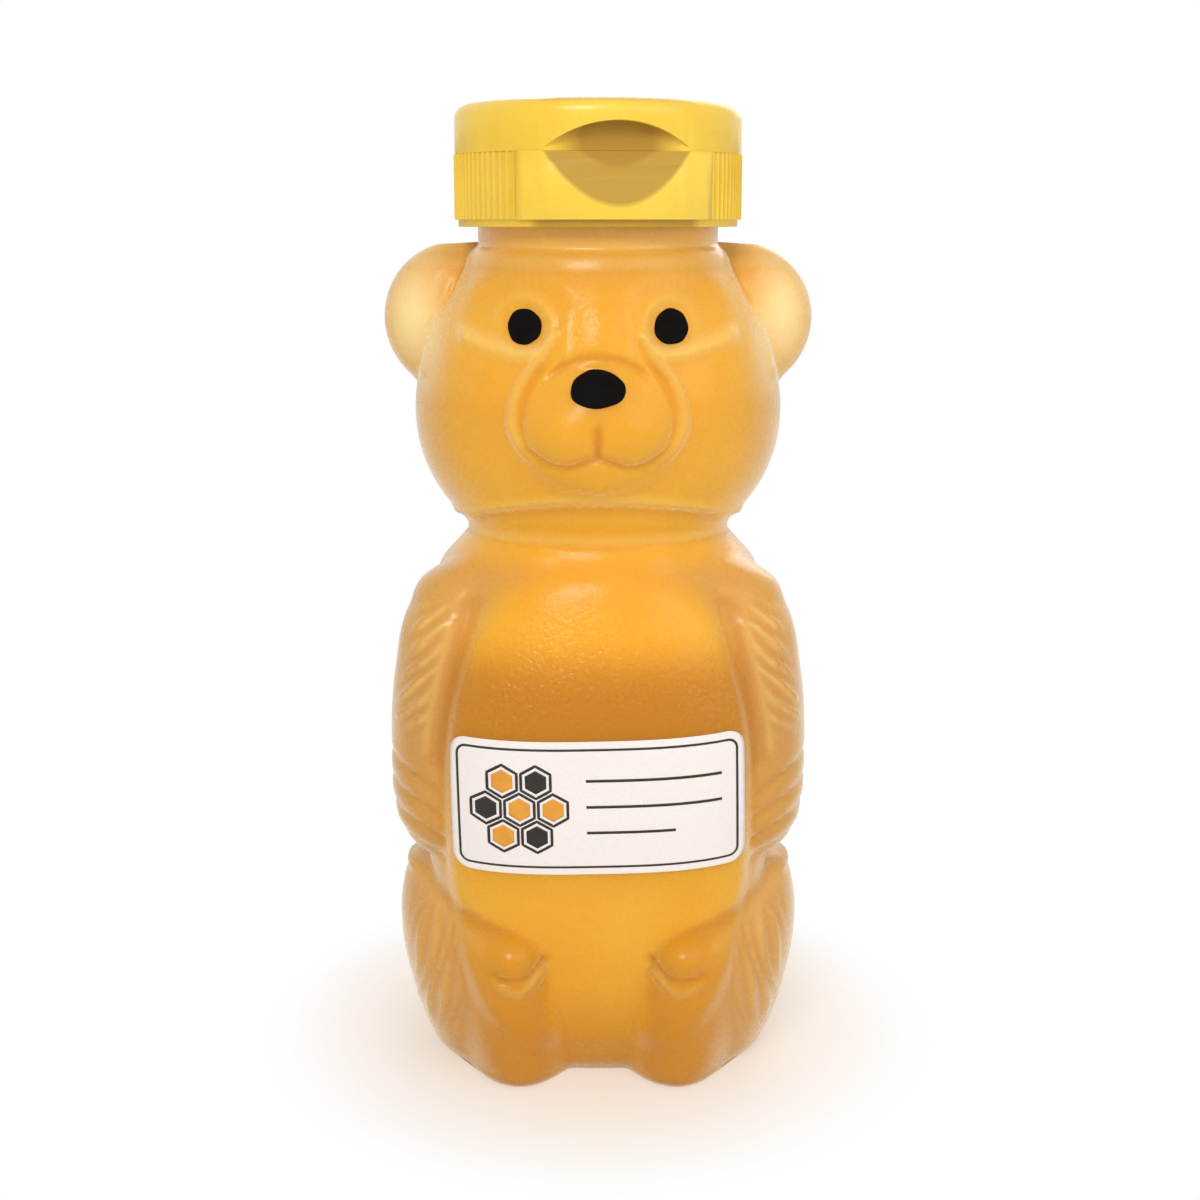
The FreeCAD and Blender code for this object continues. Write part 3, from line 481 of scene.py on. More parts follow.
bear_rows = np.concatenate((
    base_hollow, base_flat[::-1], skin, round_points(angles, neck_reach, neck_levels),
    lip_outside[1:], lip_inside[::-1], round_points(angles, NECK_BORE, bore_levels), inner,
))


def bear_tints(points):
    """Shares of the bottle's tints at each point: glow where the honey shines through bright, frost where
    the wall looks milky, ear for the middle of the thin ears, partly their paler tone and partly a painted
    glow of light shining through, neck above the honey, a pale painted highlight on the ridges and a dark
    painted shade in the grooves of the sculpted lines, peel for the rough top of the bib, and top where the
    wall hides what is inside.
    The legs glow less than the belly, and the back glows evenly."""
    side, depth, level = np.abs(points[..., 0]), points[..., 1], points[..., 2]
    ahead = step(2, -4, depth)
    bib = step(-0.3, 0.12, bib_inside(side, level)) * ahead
    sole = step(21, 15, side) * step(20, 12, level) * ahead
    leg = step(-0.8, 1.5, side - along(LEG_EDGE, level)) * step(31, 27, level) * ahead
    behind = step(4, 14, depth)
    glow = along(GLOW_BY_LEVEL, level) * (1 - 0.6 * leg)
    head = step(*HEAD_START, level)
    frost = (1 - bib) * (1 - step(*CHEST_END, level)) * (1 - 0.75 * sole) * (1 - 0.7 * behind)
    frost = np.maximum(frost, 0.6 * step(18, 24, side) * head)
    frost = np.maximum(frost, 0.12 * head + 0.28 * step(*CROWN_START, level))
    ear_side, ear_level = EAR_SHINE[0]
    ear_share = np.hypot((side - ear_side) / EAR_SHINE[1][0], (level - ear_level) / EAR_SHINE[1][1])
    bridge = bell(side, 4.5) * bell(level - 112, 3.5) * ahead
    fine = fine_relief(side, level) * ahead
    return {
        "glow": glow + (BACK_GLOW - glow) * behind,
        "frost": frost,
        "ear": step(20, 24, side) * bell(ear_share, 1),
        "neck": step(121.4, 123, level),
        "crest_highlight": np.clip(fine / FULL_CREST, 0, 1),
        "groove_shade": np.clip(-fine / FULL_GROOVE, 0, 1),
        "peel": 0.06 + 0.84 * bib * bell(level - 62, 9) + 0.3 * bridge,
        "top": step(117.5, 121, level),
    }


tints = bear_tints(bear_rows)
tints["inside"] = np.zeros(bear_rows.shape[:2])
tints["inside"][-len(inner):] = 1
bear = grid_mesh(
    "bear_shell", {"rows": bear_rows, "poles": ((0, 0, BASE_RISE), (0, 0, BASE_RISE + 2 * WALL))},
    values={name: np.append(share, (0, 0)) for name, share in tints.items()},
)


def new_material(name):
    """A new procedural material: the material itself, its nodes, its links and its shader."""
    material = bpy.data.materials.new(name)
    material.use_nodes = True
    nodes = material.node_tree.nodes
    return material, nodes, material.node_tree.links, nodes["Principled BSDF"]


def moulded_skin():
    """A node group for moulded plastic: the fine orange peel of its mould and slow cloudy blotches."""
    group = bpy.data.node_groups.new("moulded_skin", "ShaderNodeTree")
    for name in ("Grain", "Cloud"):
        group.interface.new_socket(f"{name} Scale", in_out="INPUT", socket_type="NodeSocketFloat")
        group.interface.new_socket(name, in_out="OUTPUT", socket_type="NodeSocketFloat")
    given = group.nodes.new("NodeGroupInput")
    result = group.nodes.new("NodeGroupOutput")
    place = group.nodes.new("ShaderNodeTexCoord")
    for name, detail in (("Grain", 1.0), ("Cloud", 3.0)):
        noise = group.nodes.new("ShaderNodeTexNoise")
        noise.inputs["Detail"].default_value = detail
        group.links.new(place.outputs["Object"], noise.inputs["Vector"])
        group.links.new(given.outputs[f"{name} Scale"], noise.inputs["Scale"])
        group.links.new(noise.outputs["Fac"], result.inputs[name])
    return group


moulded = moulded_skin()


def moulded_surface(nodes, grain_scale=1500.0, cloud_scale=60.0):
    """The moulded skin's group in a material, with the scales of its grain and its cloudy blotches."""
    surface = nodes.new("ShaderNodeGroup")
    surface.node_tree = moulded
    surface.inputs["Grain Scale"].default_value = grain_scale
    surface.inputs["Cloud Scale"].default_value = cloud_scale
    return surface


def mixed(nodes, links, share, first, last):
    """A colour mix whose share is a socket and whose two ends are colours or sockets."""
    mix = nodes.new("ShaderNodeMix")
    mix.data_type = "RGBA"
    links.new(share, mix.inputs["Factor"])
    for name, end in (("A", first), ("B", last)):
        socket = next(item for item in mix.inputs if item.name == name and item.type == "RGBA")
        if isinstance(end, tuple):
            socket.default_value = (*end, 1)
        else:
            links.new(end, socket)
    return next(item for item in mix.outputs if item.type == "RGBA")


def linear(red, green, blue):
    """A colour written as it looks on a screen, turned to the light values that a shader takes."""
    return tuple(c / 12.92 if c <= 0.04045 else ((c + 0.055) / 1.055) ** 2.4 for c in (red, green, blue))


def ramped(nodes, links, source, low, high, bottom=0.0, top=1.0):
    """A value carried from the range low to high into the range bottom to top, and held at its ends."""
    ramp = nodes.new("ShaderNodeMapRange")
    links.new(source, ramp.inputs["Value"])
    for name, value in (("From Min", low), ("From Max", high), ("To Min", bottom), ("To Max", top)):
        ramp.inputs[name].default_value = value
    return ramp.outputs["Result"]


def bumped(nodes, links, shader, height, distance):
    """A Bump node of full strength between a height and the shader's normal."""
    bump = nodes.new("ShaderNodeBump")
    bump.inputs["Strength"].default_value = 1.0
    bump.inputs["Distance"].default_value = distance
    links.new(height, bump.inputs["Height"])
    links.new(bump.outputs["Normal"], shader.inputs["Normal"])


def combined(nodes, links, operation, first, last):
    """Two values joined by a Math node's operation."""
    join = nodes.new("ShaderNodeMath")
    join.operation = operation
    links.new(first, join.inputs[0])
    links.new(last, join.inputs[1])
    return join.outputs[0]


def carried(nodes, name):
    """The number that the mesh carries under this name."""
    node = nodes.new("ShaderNodeAttribute")
    node.attribute_name = name
    return node.outputs["Fac"]


# Name, largest share and colour of the tints over the honey's glow, each laid over the ones before it.
SHELL_TINTS = (
    # The pale ear tint is partly the paler tone of thin honey and partly a painted glow of light shining
    # through.
    ("frost", 1.0, (0.845, 0.625, 0.31)), ("ear", 1.0, (1.0, 0.92, 0.72)), ("neck", 1.0, (0.94, 0.71, 0.31)),
    # The pale tint on the ridges is a painted highlight, and the dark one in the grooves is painted shade.
    ("crest_highlight", 0.6, (1.0, 0.86, 0.52)), ("groove_shade", 0.5, (0.72, 0.45, 0.12)),
)
frosted, nodes, links, shader = new_material("frosted_bottle")
surface = moulded_surface(nodes, grain_scale=1400.0, cloud_scale=55.0)
cloud = ramped(nodes, links, surface.outputs["Cloud"], 0.35, 0.65)
bright = mixed(nodes, links, cloud, linear(0.955, 0.71, 0.165), linear(0.975, 0.75, 0.225))
tinted = mixed(nodes, links, carried(nodes, "glow"), linear(0.80, 0.52, 0.10), bright)
for name, most, colour in SHELL_TINTS:
    share = ramped(nodes, links, carried(nodes, name), 0, 1, 0, most)
    tinted = mixed(nodes, links, share, tinted, linear(*colour))
# Painted reflection and glow: where the wall is seen aslant towards its edges its colour turns pale,
# standing in for the white room mirrored in it and light through its thin edges.
edge = nodes.new("ShaderNodeLayerWeight")
edge.inputs["Blend"].default_value = 0.35
rim = ramped(nodes, links, edge.outputs["Facing"], 0.3, 0.95, 0, 0.8)
tinted = mixed(nodes, links, rim, tinted, linear(1.0, 0.88, 0.68))
links.new(tinted, shader.inputs["Base Color"])
links.new(ramped(nodes, links, surface.outputs["Grain"], 0.3, 0.7, 0.19, 0.31), shader.inputs["Roughness"])
peel = combined(nodes, links, "MULTIPLY", surface.outputs["Grain"], carried(nodes, "peel"))
bumped(nodes, links, shader, peel, 0.0003)

# The wall covers the honey most at its edges, where it is frosted and at its top, and it casts no shadow.
cover = ramped(nodes, links, edge.outputs["Facing"], 0.0, 0.75, 0.5, 0.95)
milky = ramped(nodes, links, carried(nodes, "frost"), 0, 1, 0, 0.75)
cover = combined(nodes, links, "MAXIMUM", cover, milky)
cover = combined(nodes, links, "MAXIMUM", cover, carried(nodes, "top"))
outside = ramped(nodes, links, carried(nodes, "inside"), 0, 1, 1, 0.02)
cover = combined(nodes, links, "MULTIPLY", cover, outside)
path = nodes.new("ShaderNodeLightPath")
unshadowed = ramped(nodes, links, path.outputs["Is Shadow Ray"], 0, 1, 1, 0)
links.new(combined(nodes, links, "MULTIPLY", cover, unshadowed), shader.inputs["Alpha"])
shader.inputs["IOR"].default_value = 1.5
shader.inputs["Sheen Weight"].default_value = 0.45
shader.inputs["Sheen Roughness"].default_value = 0.35
bear.data.materials.append(frosted)
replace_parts(bear, "bottle")
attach(bear, "bottle")

# Honey: clear amber honey that fills the bottle from its floor up to just under the neck.
# It wets the wall everywhere, so its own skin has no gloss, and light spreads far inside it.
HONEY_LEVEL = 121.4
HONEY_GAP = 0.06
# The lowest rows of the skin are left out, so that the honey starts a little above the base.
ROWS_BELOW_HONEY = 4
honey_rows = (skin - skin_normals(skin) * (WALL + HONEY_GAP))[ROWS_BELOW_HONEY:]
honey_rows = honey_rows[honey_rows[:, 0, 2] < HONEY_LEVEL]
honey_tints = bear_tints(honey_rows)
honey = grid_mesh(
    "honey_fill", {"rows": honey_rows, "poles": ((0, 0, honey_rows[0, 0, 2]), (0, 0, HONEY_LEVEL))},
    values={name: np.append(honey_tints[name], (0, 0)) for name in ("glow", "ear")},
)
clear_honey, nodes, links, shader = new_material("clear_honey")
surface = moulded_surface(nodes, cloud_scale=30.0)
cloud = ramped(nodes, links, surface.outputs["Cloud"], 0.3, 0.7)
bright = mixed(nodes, links, cloud, linear(0.98, 0.75, 0.14), linear(1.0, 0.79, 0.20))
tinted = mixed(nodes, links, carried(nodes, "glow"), linear(0.84, 0.57, 0.09), bright)
# Over the middles of the thin ears the honey is paler: partly its own thinner tone and partly a painted glow
# of light shining through.
tinted = mixed(nodes, links, carried(nodes, "ear"), tinted, linear(1.0, 0.88, 0.55))
links.new(tinted, shader.inputs["Base Color"])
shader.inputs["Roughness"].default_value = 0.5
shader.inputs["Specular IOR Level"].default_value = 0.0
shader.inputs["Subsurface Weight"].default_value = 1.0
shader.inputs["Subsurface Radius"].default_value = (1.0, 0.55, 0.12)
shader.inputs["Subsurface Scale"].default_value = 0.010
honey.data.materials.append(clear_honey)
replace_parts(honey, "honey")
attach(honey, "bottle")

# Label: a rectangle of coated white paper with rounded corners, glued flat across the belly.
# It was stuck on a little askew, so it tilts.
LABEL_HALVES = (20.5, 9.75)
LABEL_LEVEL = 45.2
LABEL_CORNER = 2.4
LABEL_THICKNESS = 0.15
LABEL_GLUE = 0.05
LABEL_TILT = math.radians(1.2)


def front_points(across, level, lift):
    """Points on the bear's front at a front-view place, lifted off its skin: the angle comes from a few
    rounds of the arc sine of across over reach, and the normal from the slopes of the depth."""
    def depth(across, level):
        angle = np.zeros(np.broadcast(across, level).shape)
        for _ in range(12):
            angle = np.arcsin(np.clip(across / bear_reach(angle, level), -0.99, 0.99))
        return -bear_reach(angle, level) * np.cos(angle)

    nudge = 0.05
    middle = depth(across, level)
    across_slope = (depth(across + nudge, level) - depth(across - nudge, level)) / (2 * nudge)
    level_slope = (depth(across, level + nudge) - depth(across, level - nudge)) / (2 * nudge)
    normal = np.stack((across_slope, -np.ones_like(middle), level_slope), axis=-1)
    normal /= np.linalg.norm(normal, axis=-1, keepdims=True)
    raised = bear_relief(across, level) + lift
    return np.stack(np.broadcast_arrays(across, middle, level), axis=-1) + normal * raised[..., None]


def label_points(across, rise, lift):
    """Points over the bear's front from places on the label, turned by its tilt."""
    tilted_across = across * math.cos(LABEL_TILT) - rise * math.sin(LABEL_TILT)
    tilted_rise = across * math.sin(LABEL_TILT) + rise * math.cos(LABEL_TILT)
    return front_points(tilted_across, LABEL_LEVEL + tilted_rise, LABEL_THICKNESS + LABEL_GLUE + lift)


def thickened(sheet, name, depth):
    """Gives a sheet a depth in millimetres behind its outer face."""
    solid = sheet.modifiers.new(name, "SOLIDIFY")
    solid.thickness = depth * MILLIMETRE
    solid.offset = -1


def noise_at(nodes, links, place, scale, detail):
    """The value of a noise texture at a place."""
    noise = nodes.new("ShaderNodeTexNoise")
    noise.inputs["Scale"].default_value = scale
    noise.inputs["Detail"].default_value = detail
    links.new(place, noise.inputs["Vector"])
    return noise.outputs["Fac"]


label_rise = LABEL_HALVES[1] * np.sin(np.linspace(-math.pi / 2, math.pi / 2, 49))[:, None]
corner_rise = np.clip(np.abs(label_rise) - LABEL_HALVES[1] + LABEL_CORNER, 0, LABEL_CORNER)
label_half = LABEL_HALVES[0] - LABEL_CORNER + np.sqrt(LABEL_CORNER**2 - corner_rise**2)
label_across = np.linspace(-1, 1, 81) * label_half
label_rows = label_points(label_across, label_rise, 0)
label = grid_mesh("paper_label", {"rows": label_rows, "runs_round": False})
thickened(label, "paper_thickness", LABEL_THICKNESS)
paper, nodes, links, shader = new_material("label_paper")
place = nodes.new("ShaderNodeTexCoord")
fibre = noise_at(nodes, links, place.outputs["Object"], 2600.0, 5.0)
shade = ramped(nodes, links, fibre, 0.3, 0.7)
white = mixed(nodes, links, shade, linear(0.95, 0.915, 0.895), linear(0.965, 0.935, 0.915))
links.new(white, shader.inputs["Base Color"])
links.new(ramped(nodes, links, fibre, 0.3, 0.7, 0.34, 0.5), shader.inputs["Roughness"])
bumped(nodes, links, shader, fibre, 0.00003)
label.data.materials.append(paper)
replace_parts(label, "label")
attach(label, "bottle")

# Print: thin films of dark and amber ink, printed on the label's face before it is glued on.
# They draw a border, a cluster of honeycomb cells and three blank rules.
PRINT_LIFT = 0.03
INK_THICKNESS = 0.015
BORDER_INSET = 1.15
BORDER_HALF = 0.16
CELL_REACH = 2.35
CELL_STEP = 4.65
CELL_HALF = 0.2
CELL_INSET = 0.65
COMB_PLACE = (-10.9, 0.0)
RULE_HALF = 0.2
# Start and end of each rule across the label, and its height over the label's middle.
RULES = ((-1.6, 17.2, 4.2), (-1.6, 17.2, 0.4), (-1.6, 10.8, -3.4))
DARK_INK = (0.08, 0.065, 0.055)
AMBER_INK = (0.86, 0.58, 0.16)


def ink_line(path, half_width, closed):
    """A printed line: three rows along a path on the label, set off to its left and right by half its
    width."""
    ahead = np.roll(path, -1, axis=0) - np.roll(path, 1, axis=0)
    if not closed:
        ahead[[0, -1]] = path[[1, -1]] - path[[0, -2]]
    left = np.stack((-ahead[:, 1], ahead[:, 0]), axis=-1) / np.linalg.norm(ahead, axis=1, keepdims=True)
    spots = path + left * np.array([-half_width, 0, half_width])[:, None, None]
    return {"rows": label_points(spots[..., 0], spots[..., 1], PRINT_LIFT), "runs_round": closed}


def corner_path(corners, parts):
    """A closed path of straight runs between corners, each cut into equal parts."""
    share = np.linspace(0, 1, parts, endpoint=False)[:, None]
    return np.concatenate([a + (b - a) * share for a, b in zip(corners, np.roll(corners, -1, axis=0))])


def rounded_corners(halves, radius):
    """The corners of a rectangle with rounded ends: a quarter arc about a point inside each corner."""
    quarter = np.array(((1, 1), (-1, 1), (-1, -1), (1, -1)))[:, None]
    turn = np.radians(90 * np.arange(4)[:, None] + np.linspace(0, 90, 7))
    arcs = quarter * (halves - radius) + radius * np.stack((np.cos(turn), np.sin(turn)), axis=-1)
    return arcs.reshape(-1, 2)


def cell_corners(middle, reach):
    """The six corners of an upright honeycomb cell."""
    turn = np.radians(30 + 60 * np.arange(6))
    return np.array(middle) + reach * np.stack((np.cos(turn), np.sin(turn)), axis=-1)


def cell_fill(cell):
    """A honeycomb cell filled with ink, a little smaller than its outline: rings round a middle point."""
    hexagon = corner_path(cell_corners((0, 0), CELL_REACH - CELL_INSET), 6)[::-1]
    spots = cell + hexagon * np.linspace(0.2, 1, 5)[:, None, None]
    middle = label_points(cell[0], cell[1], PRINT_LIFT)
    return {"rows": label_points(spots[..., 0], spots[..., 1], PRINT_LIFT), "poles": (middle, None)}


def printed(name, lines, red, green, blue):
    """A film of ink on the label, with a faint unevenness in its colour and gloss."""
    film = grid_mesh(name, *lines)
    ink, nodes, links, shader = new_material(name)
    surface = moulded_surface(nodes, cloud_scale=400.0)
    uneven = ramped(nodes, links, surface.outputs["Cloud"], 0.3, 0.7)
    pale = linear(red + 0.06, green + 0.05, blue + 0.04)
    links.new(mixed(nodes, links, uneven, linear(red, green, blue), pale), shader.inputs["Base Color"])
    links.new(ramped(nodes, links, surface.outputs["Cloud"], 0.3, 0.7, 0.4, 0.6), shader.inputs["Roughness"])
    film.data.materials.append(ink)
    thickened(film, "ink_thickness", INK_THICKNESS)
    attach(film, "bottle")


comb_turns = np.radians(60 * np.arange(6))
comb_ring = np.array(COMB_PLACE) + CELL_STEP * np.stack((np.cos(comb_turns), np.sin(comb_turns)), axis=-1)
cells = [np.array(COMB_PLACE), *comb_ring]
border = rounded_corners(np.array(LABEL_HALVES) - BORDER_INSET, LABEL_CORNER - BORDER_INSET)
dark_lines = [ink_line(corner_path(border, 24), BORDER_HALF, True)]
dark_lines += [ink_line(corner_path(cell_corners(cell, CELL_REACH), 6), CELL_HALF, True) for cell in cells]
for start, end, rise in RULES:
    across = np.linspace(start, end, 40)
    rule = np.stack((across, np.full_like(across, rise)), axis=-1)
    dark_lines.append(ink_line(rule, RULE_HALF, False))
dark_lines += [cell_fill(cell) for cell in cells[2::2]]
printed("dark_print", dark_lines, *DARK_INK)
printed("amber_print", [cell_fill(cell) for cell in (cells[0], *cells[1::2])], *AMBER_INK)

# Eyes and nose: matte black paint, dabbed on the moulded face once the bottle is blown.
# Each dab is thickest in its middle and has a slightly ragged edge.
EYE_RADIUS = 2.45
NOSE_PLACE = (0.0, 104.2)
NOSE_HALVES = (3.6, 2.6)
NOSE_TAPER = 0.17
PAINT_LIFT = 0.16
PAINT_BACK = -0.1
# Height of each wave in a dab's edge as a share of its size, waves in a turn, and turns of its phase.
PAINT_WAVES = ((0.02, 3, 1), (0.01, 7, 2), (0.004, 31, 0))
paint, nodes, links, shader = new_material("black_paint")
place = nodes.new("ShaderNodeTexCoord")
stretch = nodes.new("ShaderNodeMapping")
stretch.inputs["Scale"].default_value = (0.3, 1.0, 2.5)
links.new(place.outputs["Object"], stretch.inputs["Vector"])
streak = noise_at(nodes, links, stretch.outputs["Vector"], 500.0, 4.0)
shade = ramped(nodes, links, streak, 0.35, 0.7)
black = mixed(nodes, links, shade, linear(0.02, 0.018, 0.016), linear(0.07, 0.06, 0.05))
links.new(black, shader.inputs["Base Color"])
links.new(ramped(nodes, links, streak, 0.3, 0.7, 0.5, 0.75), shader.inputs["Roughness"])
shader.inputs["Specular IOR Level"].default_value = 0.05
bumped(nodes, links, shader, streak, 0.00012)


def paint_dab(name, place, halves, taper, phase):
    """A round dab on the face, wider below by its taper: rings out to a ragged edge, thickest in the middle
    and shut behind."""
    turn = np.linspace(0, 2 * math.pi, 97)[:-1]
    ragged = 1 + sum(height * np.sin(waves * turn + shift * phase) for height, waves, shift in PAINT_WAVES)
    outwards = np.linspace(0.06, 1, 16)
    inwards = outwards[-2::-2]
    ring = np.concatenate((outwards, inwards))[:, None]
    domed = PAINT_LIFT * (1 - 0.5 * outwards**6)
    lift = np.concatenate((domed, np.full_like(inwards, PAINT_BACK)))[:, None]
    across = place[0] + halves[0] * ring * ragged * np.cos(turn) * (1 + taper * np.sin(turn))
    rows = front_points(across, place[1] - halves[1] * ring * ragged * np.sin(turn), lift)
    middle = np.array(place[0]), np.array(place[1])
    poles = [front_points(*middle, np.array(rise)) for rise in (PAINT_LIFT, PAINT_BACK)]
    dab = grid_mesh(name, {"rows": rows, "poles": poles})
    dab.data.materials.append(paint)
    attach(dab, "bottle")
    return dab


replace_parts(paint_dab("left_eye_paint", EYE_PLACE, (EYE_RADIUS, EYE_RADIUS), 0, 0.4), "left_eye")
right_place = (-EYE_PLACE[0], EYE_PLACE[1])
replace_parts(paint_dab("right_eye_paint", right_place, (EYE_RADIUS, EYE_RADIUS), 0, 2.1), "right_eye")
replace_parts(paint_dab("nose_paint", NOSE_PLACE, NOSE_HALVES, NOSE_TAPER, 1.3), "nose")

# Seal ring: a flat ring of white foam, punched from sheet and laid into the cap.
# It lies under the cap's deck and shuts the lip of the bottle.


def dressed(name, material):
    """A solid of the frame, shown as it is with this material."""
    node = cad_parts[name]
    node.data.materials.clear()
    node.data.materials.append(material)
    return node


foam, nodes, links, shader = new_material("white_foam")
surface = moulded_surface(nodes, grain_scale=1800.0)
pores = ramped(nodes, links, surface.outputs["Grain"], 0.35, 0.6)
white = mixed(nodes, links, pores, linear(0.82, 0.81, 0.78), linear(0.93, 0.92, 0.90))
links.new(white, shader.inputs["Base Color"])
shader.inputs["Roughness"].default_value = 0.85
bumped(nodes, links, shader, surface.outputs["Grain"], 0.0001)
dressed("seal_ring", foam)

# Cap: base and lid moulded as one from glossy yellow plastic, joined at the back by a thin web that bends.
# The base screws on the neck over a ring of foam; ribs run round it but for the plain front.
CAP_CLOCKING = math.radians(8.3)
# Distances from the neck axis over which painted shade darkens the thumb recess and the valleys between the
# ribs.
RECESS_FLOOR = (20.4, 18.8)
RIB_VALLEYS = (20.98, 20.68)
# Distances towards the cap's front over which the front begins, and levels over which the lid ends.
FRONT_START = (16.5, 17.5)
LID_END = (135.6, 135.5)
EDGE_ROUND = 0.12
WELD_REACH = 0.001


def vector_math(nodes, links, operation, vector, other=(0, 0, 0)):
    """A Vector Math node's operation on a vector and a fixed one: it multiplies to a vector, or measures."""
    node = nodes.new("ShaderNodeVectorMath")
    node.operation = operation
    links.new(vector, node.inputs[0])
    node.inputs[1].default_value = other
    return node.outputs["Vector" if operation == "MULTIPLY" else "Value"]


def place_in_millimetres(nodes, links):
    """The place of a shaded point as a vector from the origin, in millimetres."""
    place = nodes.new("ShaderNodeTexCoord")
    return vector_math(nodes, links, "MULTIPLY", place.outputs["Object"], (1 / MILLIMETRE,) * 3)


cap_yellow, nodes, links, shader = new_material("yellow_cap")
surface = moulded_surface(nodes, grain_scale=2600.0, cloud_scale=90.0)
cloud = ramped(nodes, links, surface.outputs["Cloud"], 0.35, 0.65)
yellow = mixed(nodes, links, cloud, linear(0.96, 0.79, 0.22), linear(0.98, 0.83, 0.28))
place = place_in_millimetres(nodes, links)
cap_front = (math.sin(CAP_CLOCKING), -math.cos(CAP_CLOCKING), 0)
forwards = vector_math(nodes, links, "DOT_PRODUCT", place, cap_front)
level = vector_math(nodes, links, "DOT_PRODUCT", place, (0, 0, 1))
from_axis = vector_math(nodes, links, "LENGTH", vector_math(nodes, links, "MULTIPLY", place, (1, 1, 0)))
# Painted shade: the colour darkens in the thumb recess and, below the lid, in the valleys between the ribs,
# where shade falls.
recess_shade_depth = ramped(nodes, links, from_axis, *RECESS_FLOOR, 0, 0.95)
recess = combined(nodes, links, "MULTIPLY", recess_shade_depth, ramped(nodes, links, forwards, *FRONT_START))
rib_valley_shade = ramped(nodes, links, from_axis, *RIB_VALLEYS)
rib_valley_shade = combined(nodes, links, "MULTIPLY", rib_valley_shade, ramped(nodes, links, level, *LID_END))
valley_share = ramped(nodes, links, forwards, *FRONT_START, 0.2, 0.8)
rib_valley_shade = combined(nodes, links, "MULTIPLY", rib_valley_shade, valley_share)
shaded = combined(nodes, links, "MAXIMUM", recess, rib_valley_shade)
links.new(mixed(nodes, links, shaded, yellow, linear(0.66, 0.49, 0.07)), shader.inputs["Base Color"])
rough = ramped(nodes, links, surface.outputs["Cloud"], 0.3, 0.7, 0.22, 0.32)
rough = combined(nodes, links, "MAXIMUM", rough, ramped(nodes, links, shaded, 0, 1, 0, 0.6))
links.new(rough, shader.inputs["Roughness"])
bumped(nodes, links, shader, surface.outputs["Grain"], 0.00002)
for name in ("cap_base", "hinge_web", "lid"):
    weld = dressed(name, cap_yellow).modifiers.new("joined_points", "WELD")
    weld.merge_threshold = WELD_REACH * MILLIMETRE
for name in ("cap_base", "lid"):
    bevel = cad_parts[name].modifiers.new("soft_edges", "BEVEL")
    bevel.width = EDGE_ROUND * MILLIMETRE
    bevel.segments = 2
    bevel.limit_method = "ANGLE"
    bevel.angle_limit = math.radians(35)
    bevel.harden_normals = True

# Studio: a wide pale floor that turns to plain white away from the bear, three soft lamps and the camera.
# Round the bear the floor has a painted warm glow of light through the honey.
# It makes the picture and is no piece of the bottle.
FLOOR_HALF = 6000.0
FLOOR_LEVEL = -0.02
# Distances over which the painted warm glow round the bear ends and the floor turns to plain white.
WARM_GLOW_END = (26, 50)
WHITE_START = (30, 54)
floor_grid = np.linspace(-1, 1, 3) * FLOOR_HALF
floor_rows = np.stack(np.broadcast_arrays(floor_grid, floor_grid[:, None], FLOOR_LEVEL), axis=-1)
floor = grid_mesh("floor", {"rows": floor_rows, "runs_round": False})
floor_white, nodes, links, shader = new_material("floor_white")
shader.inputs["Base Color"].default_value = (0.96, 0.95, 0.93, 1)
shader.inputs["Roughness"].default_value = 0.7
shader.inputs["Specular IOR Level"].default_value = 0.1
from_bear = vector_math(nodes, links, "LENGTH", place_in_millimetres(nodes, links))
shine = nodes.new("ShaderNodeEmission")
# Painted warm glow: near the bear the floor's own light is tinted warm, standing in for light through the
# honey.
plain = ramped(nodes, links, from_bear, *WARM_GLOW_END)
links.new(mixed(nodes, links, plain, linear(1.0, 0.93, 0.86), (1, 1, 1)), shine.inputs["Color"])
far = ramped(nodes, links, from_bear, *WHITE_START, 0.5, 1)
path = nodes.new("ShaderNodeLightPath")
blend = nodes.new("ShaderNodeMixShader")
links.new(combined(nodes, links, "MULTIPLY", far, path.outputs["Is Camera Ray"]), blend.inputs[0])
links.new(shader.outputs[0], blend.inputs[1])
links.new(shine.outputs[0], blend.inputs[2])
links.new(blend.outputs[0], nodes["Material Output"].inputs["Surface"])
floor.data.materials.append(floor_white)

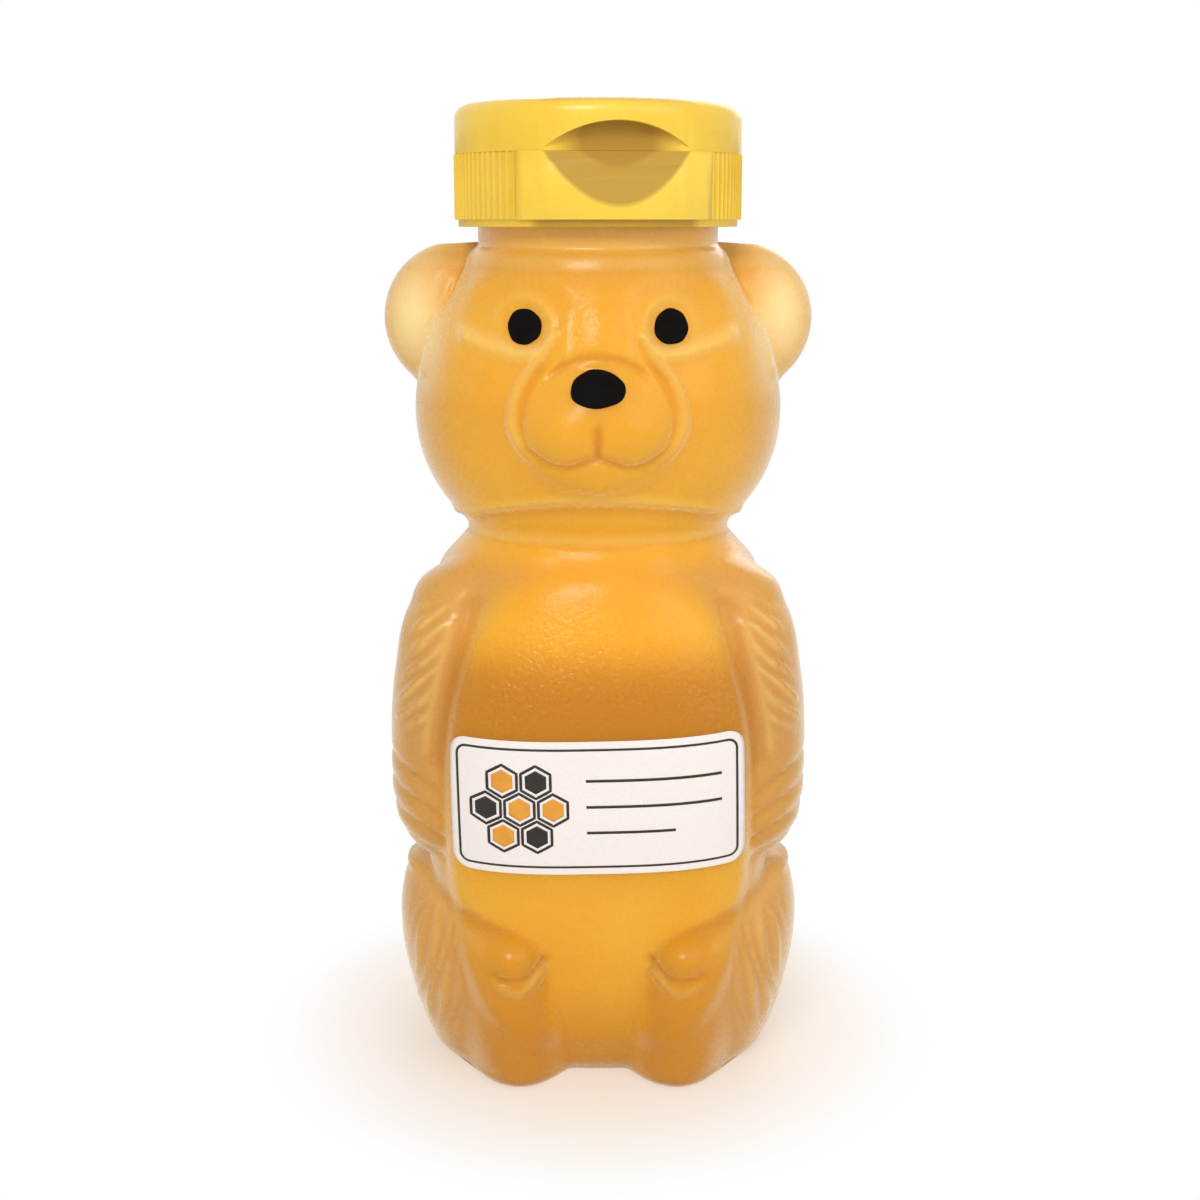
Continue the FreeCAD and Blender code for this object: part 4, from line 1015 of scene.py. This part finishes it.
# The world lights the bear dimly, and is plain white where it is seen, mirrored or looked through.
world = bpy.data.worlds.new("studio_world")
world.use_nodes = True
bpy.context.scene.world = world
nodes = world.node_tree.nodes
links = world.node_tree.links
dim = nodes["Background"]
dim.inputs["Strength"].default_value = 0.5
dim.inputs["Color"].default_value = (1, 0.99, 0.97, 1)
white = nodes.new("ShaderNodeBackground")
white.inputs["Color"].default_value = (1, 1, 1, 1)
path = nodes.new("ShaderNodeLightPath")
seen = path.outputs["Is Camera Ray"]
for ray in ("Is Glossy Ray", "Is Transmission Ray"):
    seen = combined(nodes, links, "MAXIMUM", seen, path.outputs[ray])
blend = nodes.new("ShaderNodeMixShader")
links.new(seen, blend.inputs[0])
links.new(dim.outputs[0], blend.inputs[1])
links.new(white.outputs[0], blend.inputs[2])
links.new(blend.outputs[0], nodes["World Output"].inputs["Surface"])


def soft_lamp(name, place, aim, size, power):
    """A square lamp that points from its place at an aim, both in millimetres."""
    lamp = bpy.data.lights.new(name, "AREA")
    lamp.size = size * MILLIMETRE
    lamp.energy = power
    item = bpy.data.objects.new(name, lamp)
    bpy.context.scene.collection.objects.link(item)
    item.location = [c * MILLIMETRE for c in place]
    item.rotation_euler = (Vector(aim) - Vector(place)).to_track_quat("-Z", "Y").to_euler()


soft_lamp("key_lamp", (-150, -600, 565), (0, 0, 90), 300, 2.4)
soft_lamp("fill_lamp", (480, -420, 420), (0, 0, 70), 500, 1.0)
soft_lamp("back_lamp", (160, 560, 420), (0, 0, 70), 500, 1.2)

CAMERA_PLACE = (0.3, -252.0, 126.5)
CAMERA_PITCH = 12.8
FOCAL_PIXELS = 1674.0
FRAME_PIXELS = 1200.0
camera = bpy.data.objects.new("camera", bpy.data.cameras.new("camera"))
bpy.context.scene.collection.objects.link(camera)
camera.location = [c * MILLIMETRE for c in CAMERA_PLACE]
camera.rotation_euler = (math.radians(90 - CAMERA_PITCH), 0, 0)
camera.data.sensor_width = 36.0
camera.data.lens = camera.data.sensor_width * FOCAL_PIXELS / FRAME_PIXELS
camera.data.clip_start = 0.01
bpy.context.scene.camera = camera
bpy.context.scene.view_settings.view_transform = "Standard"
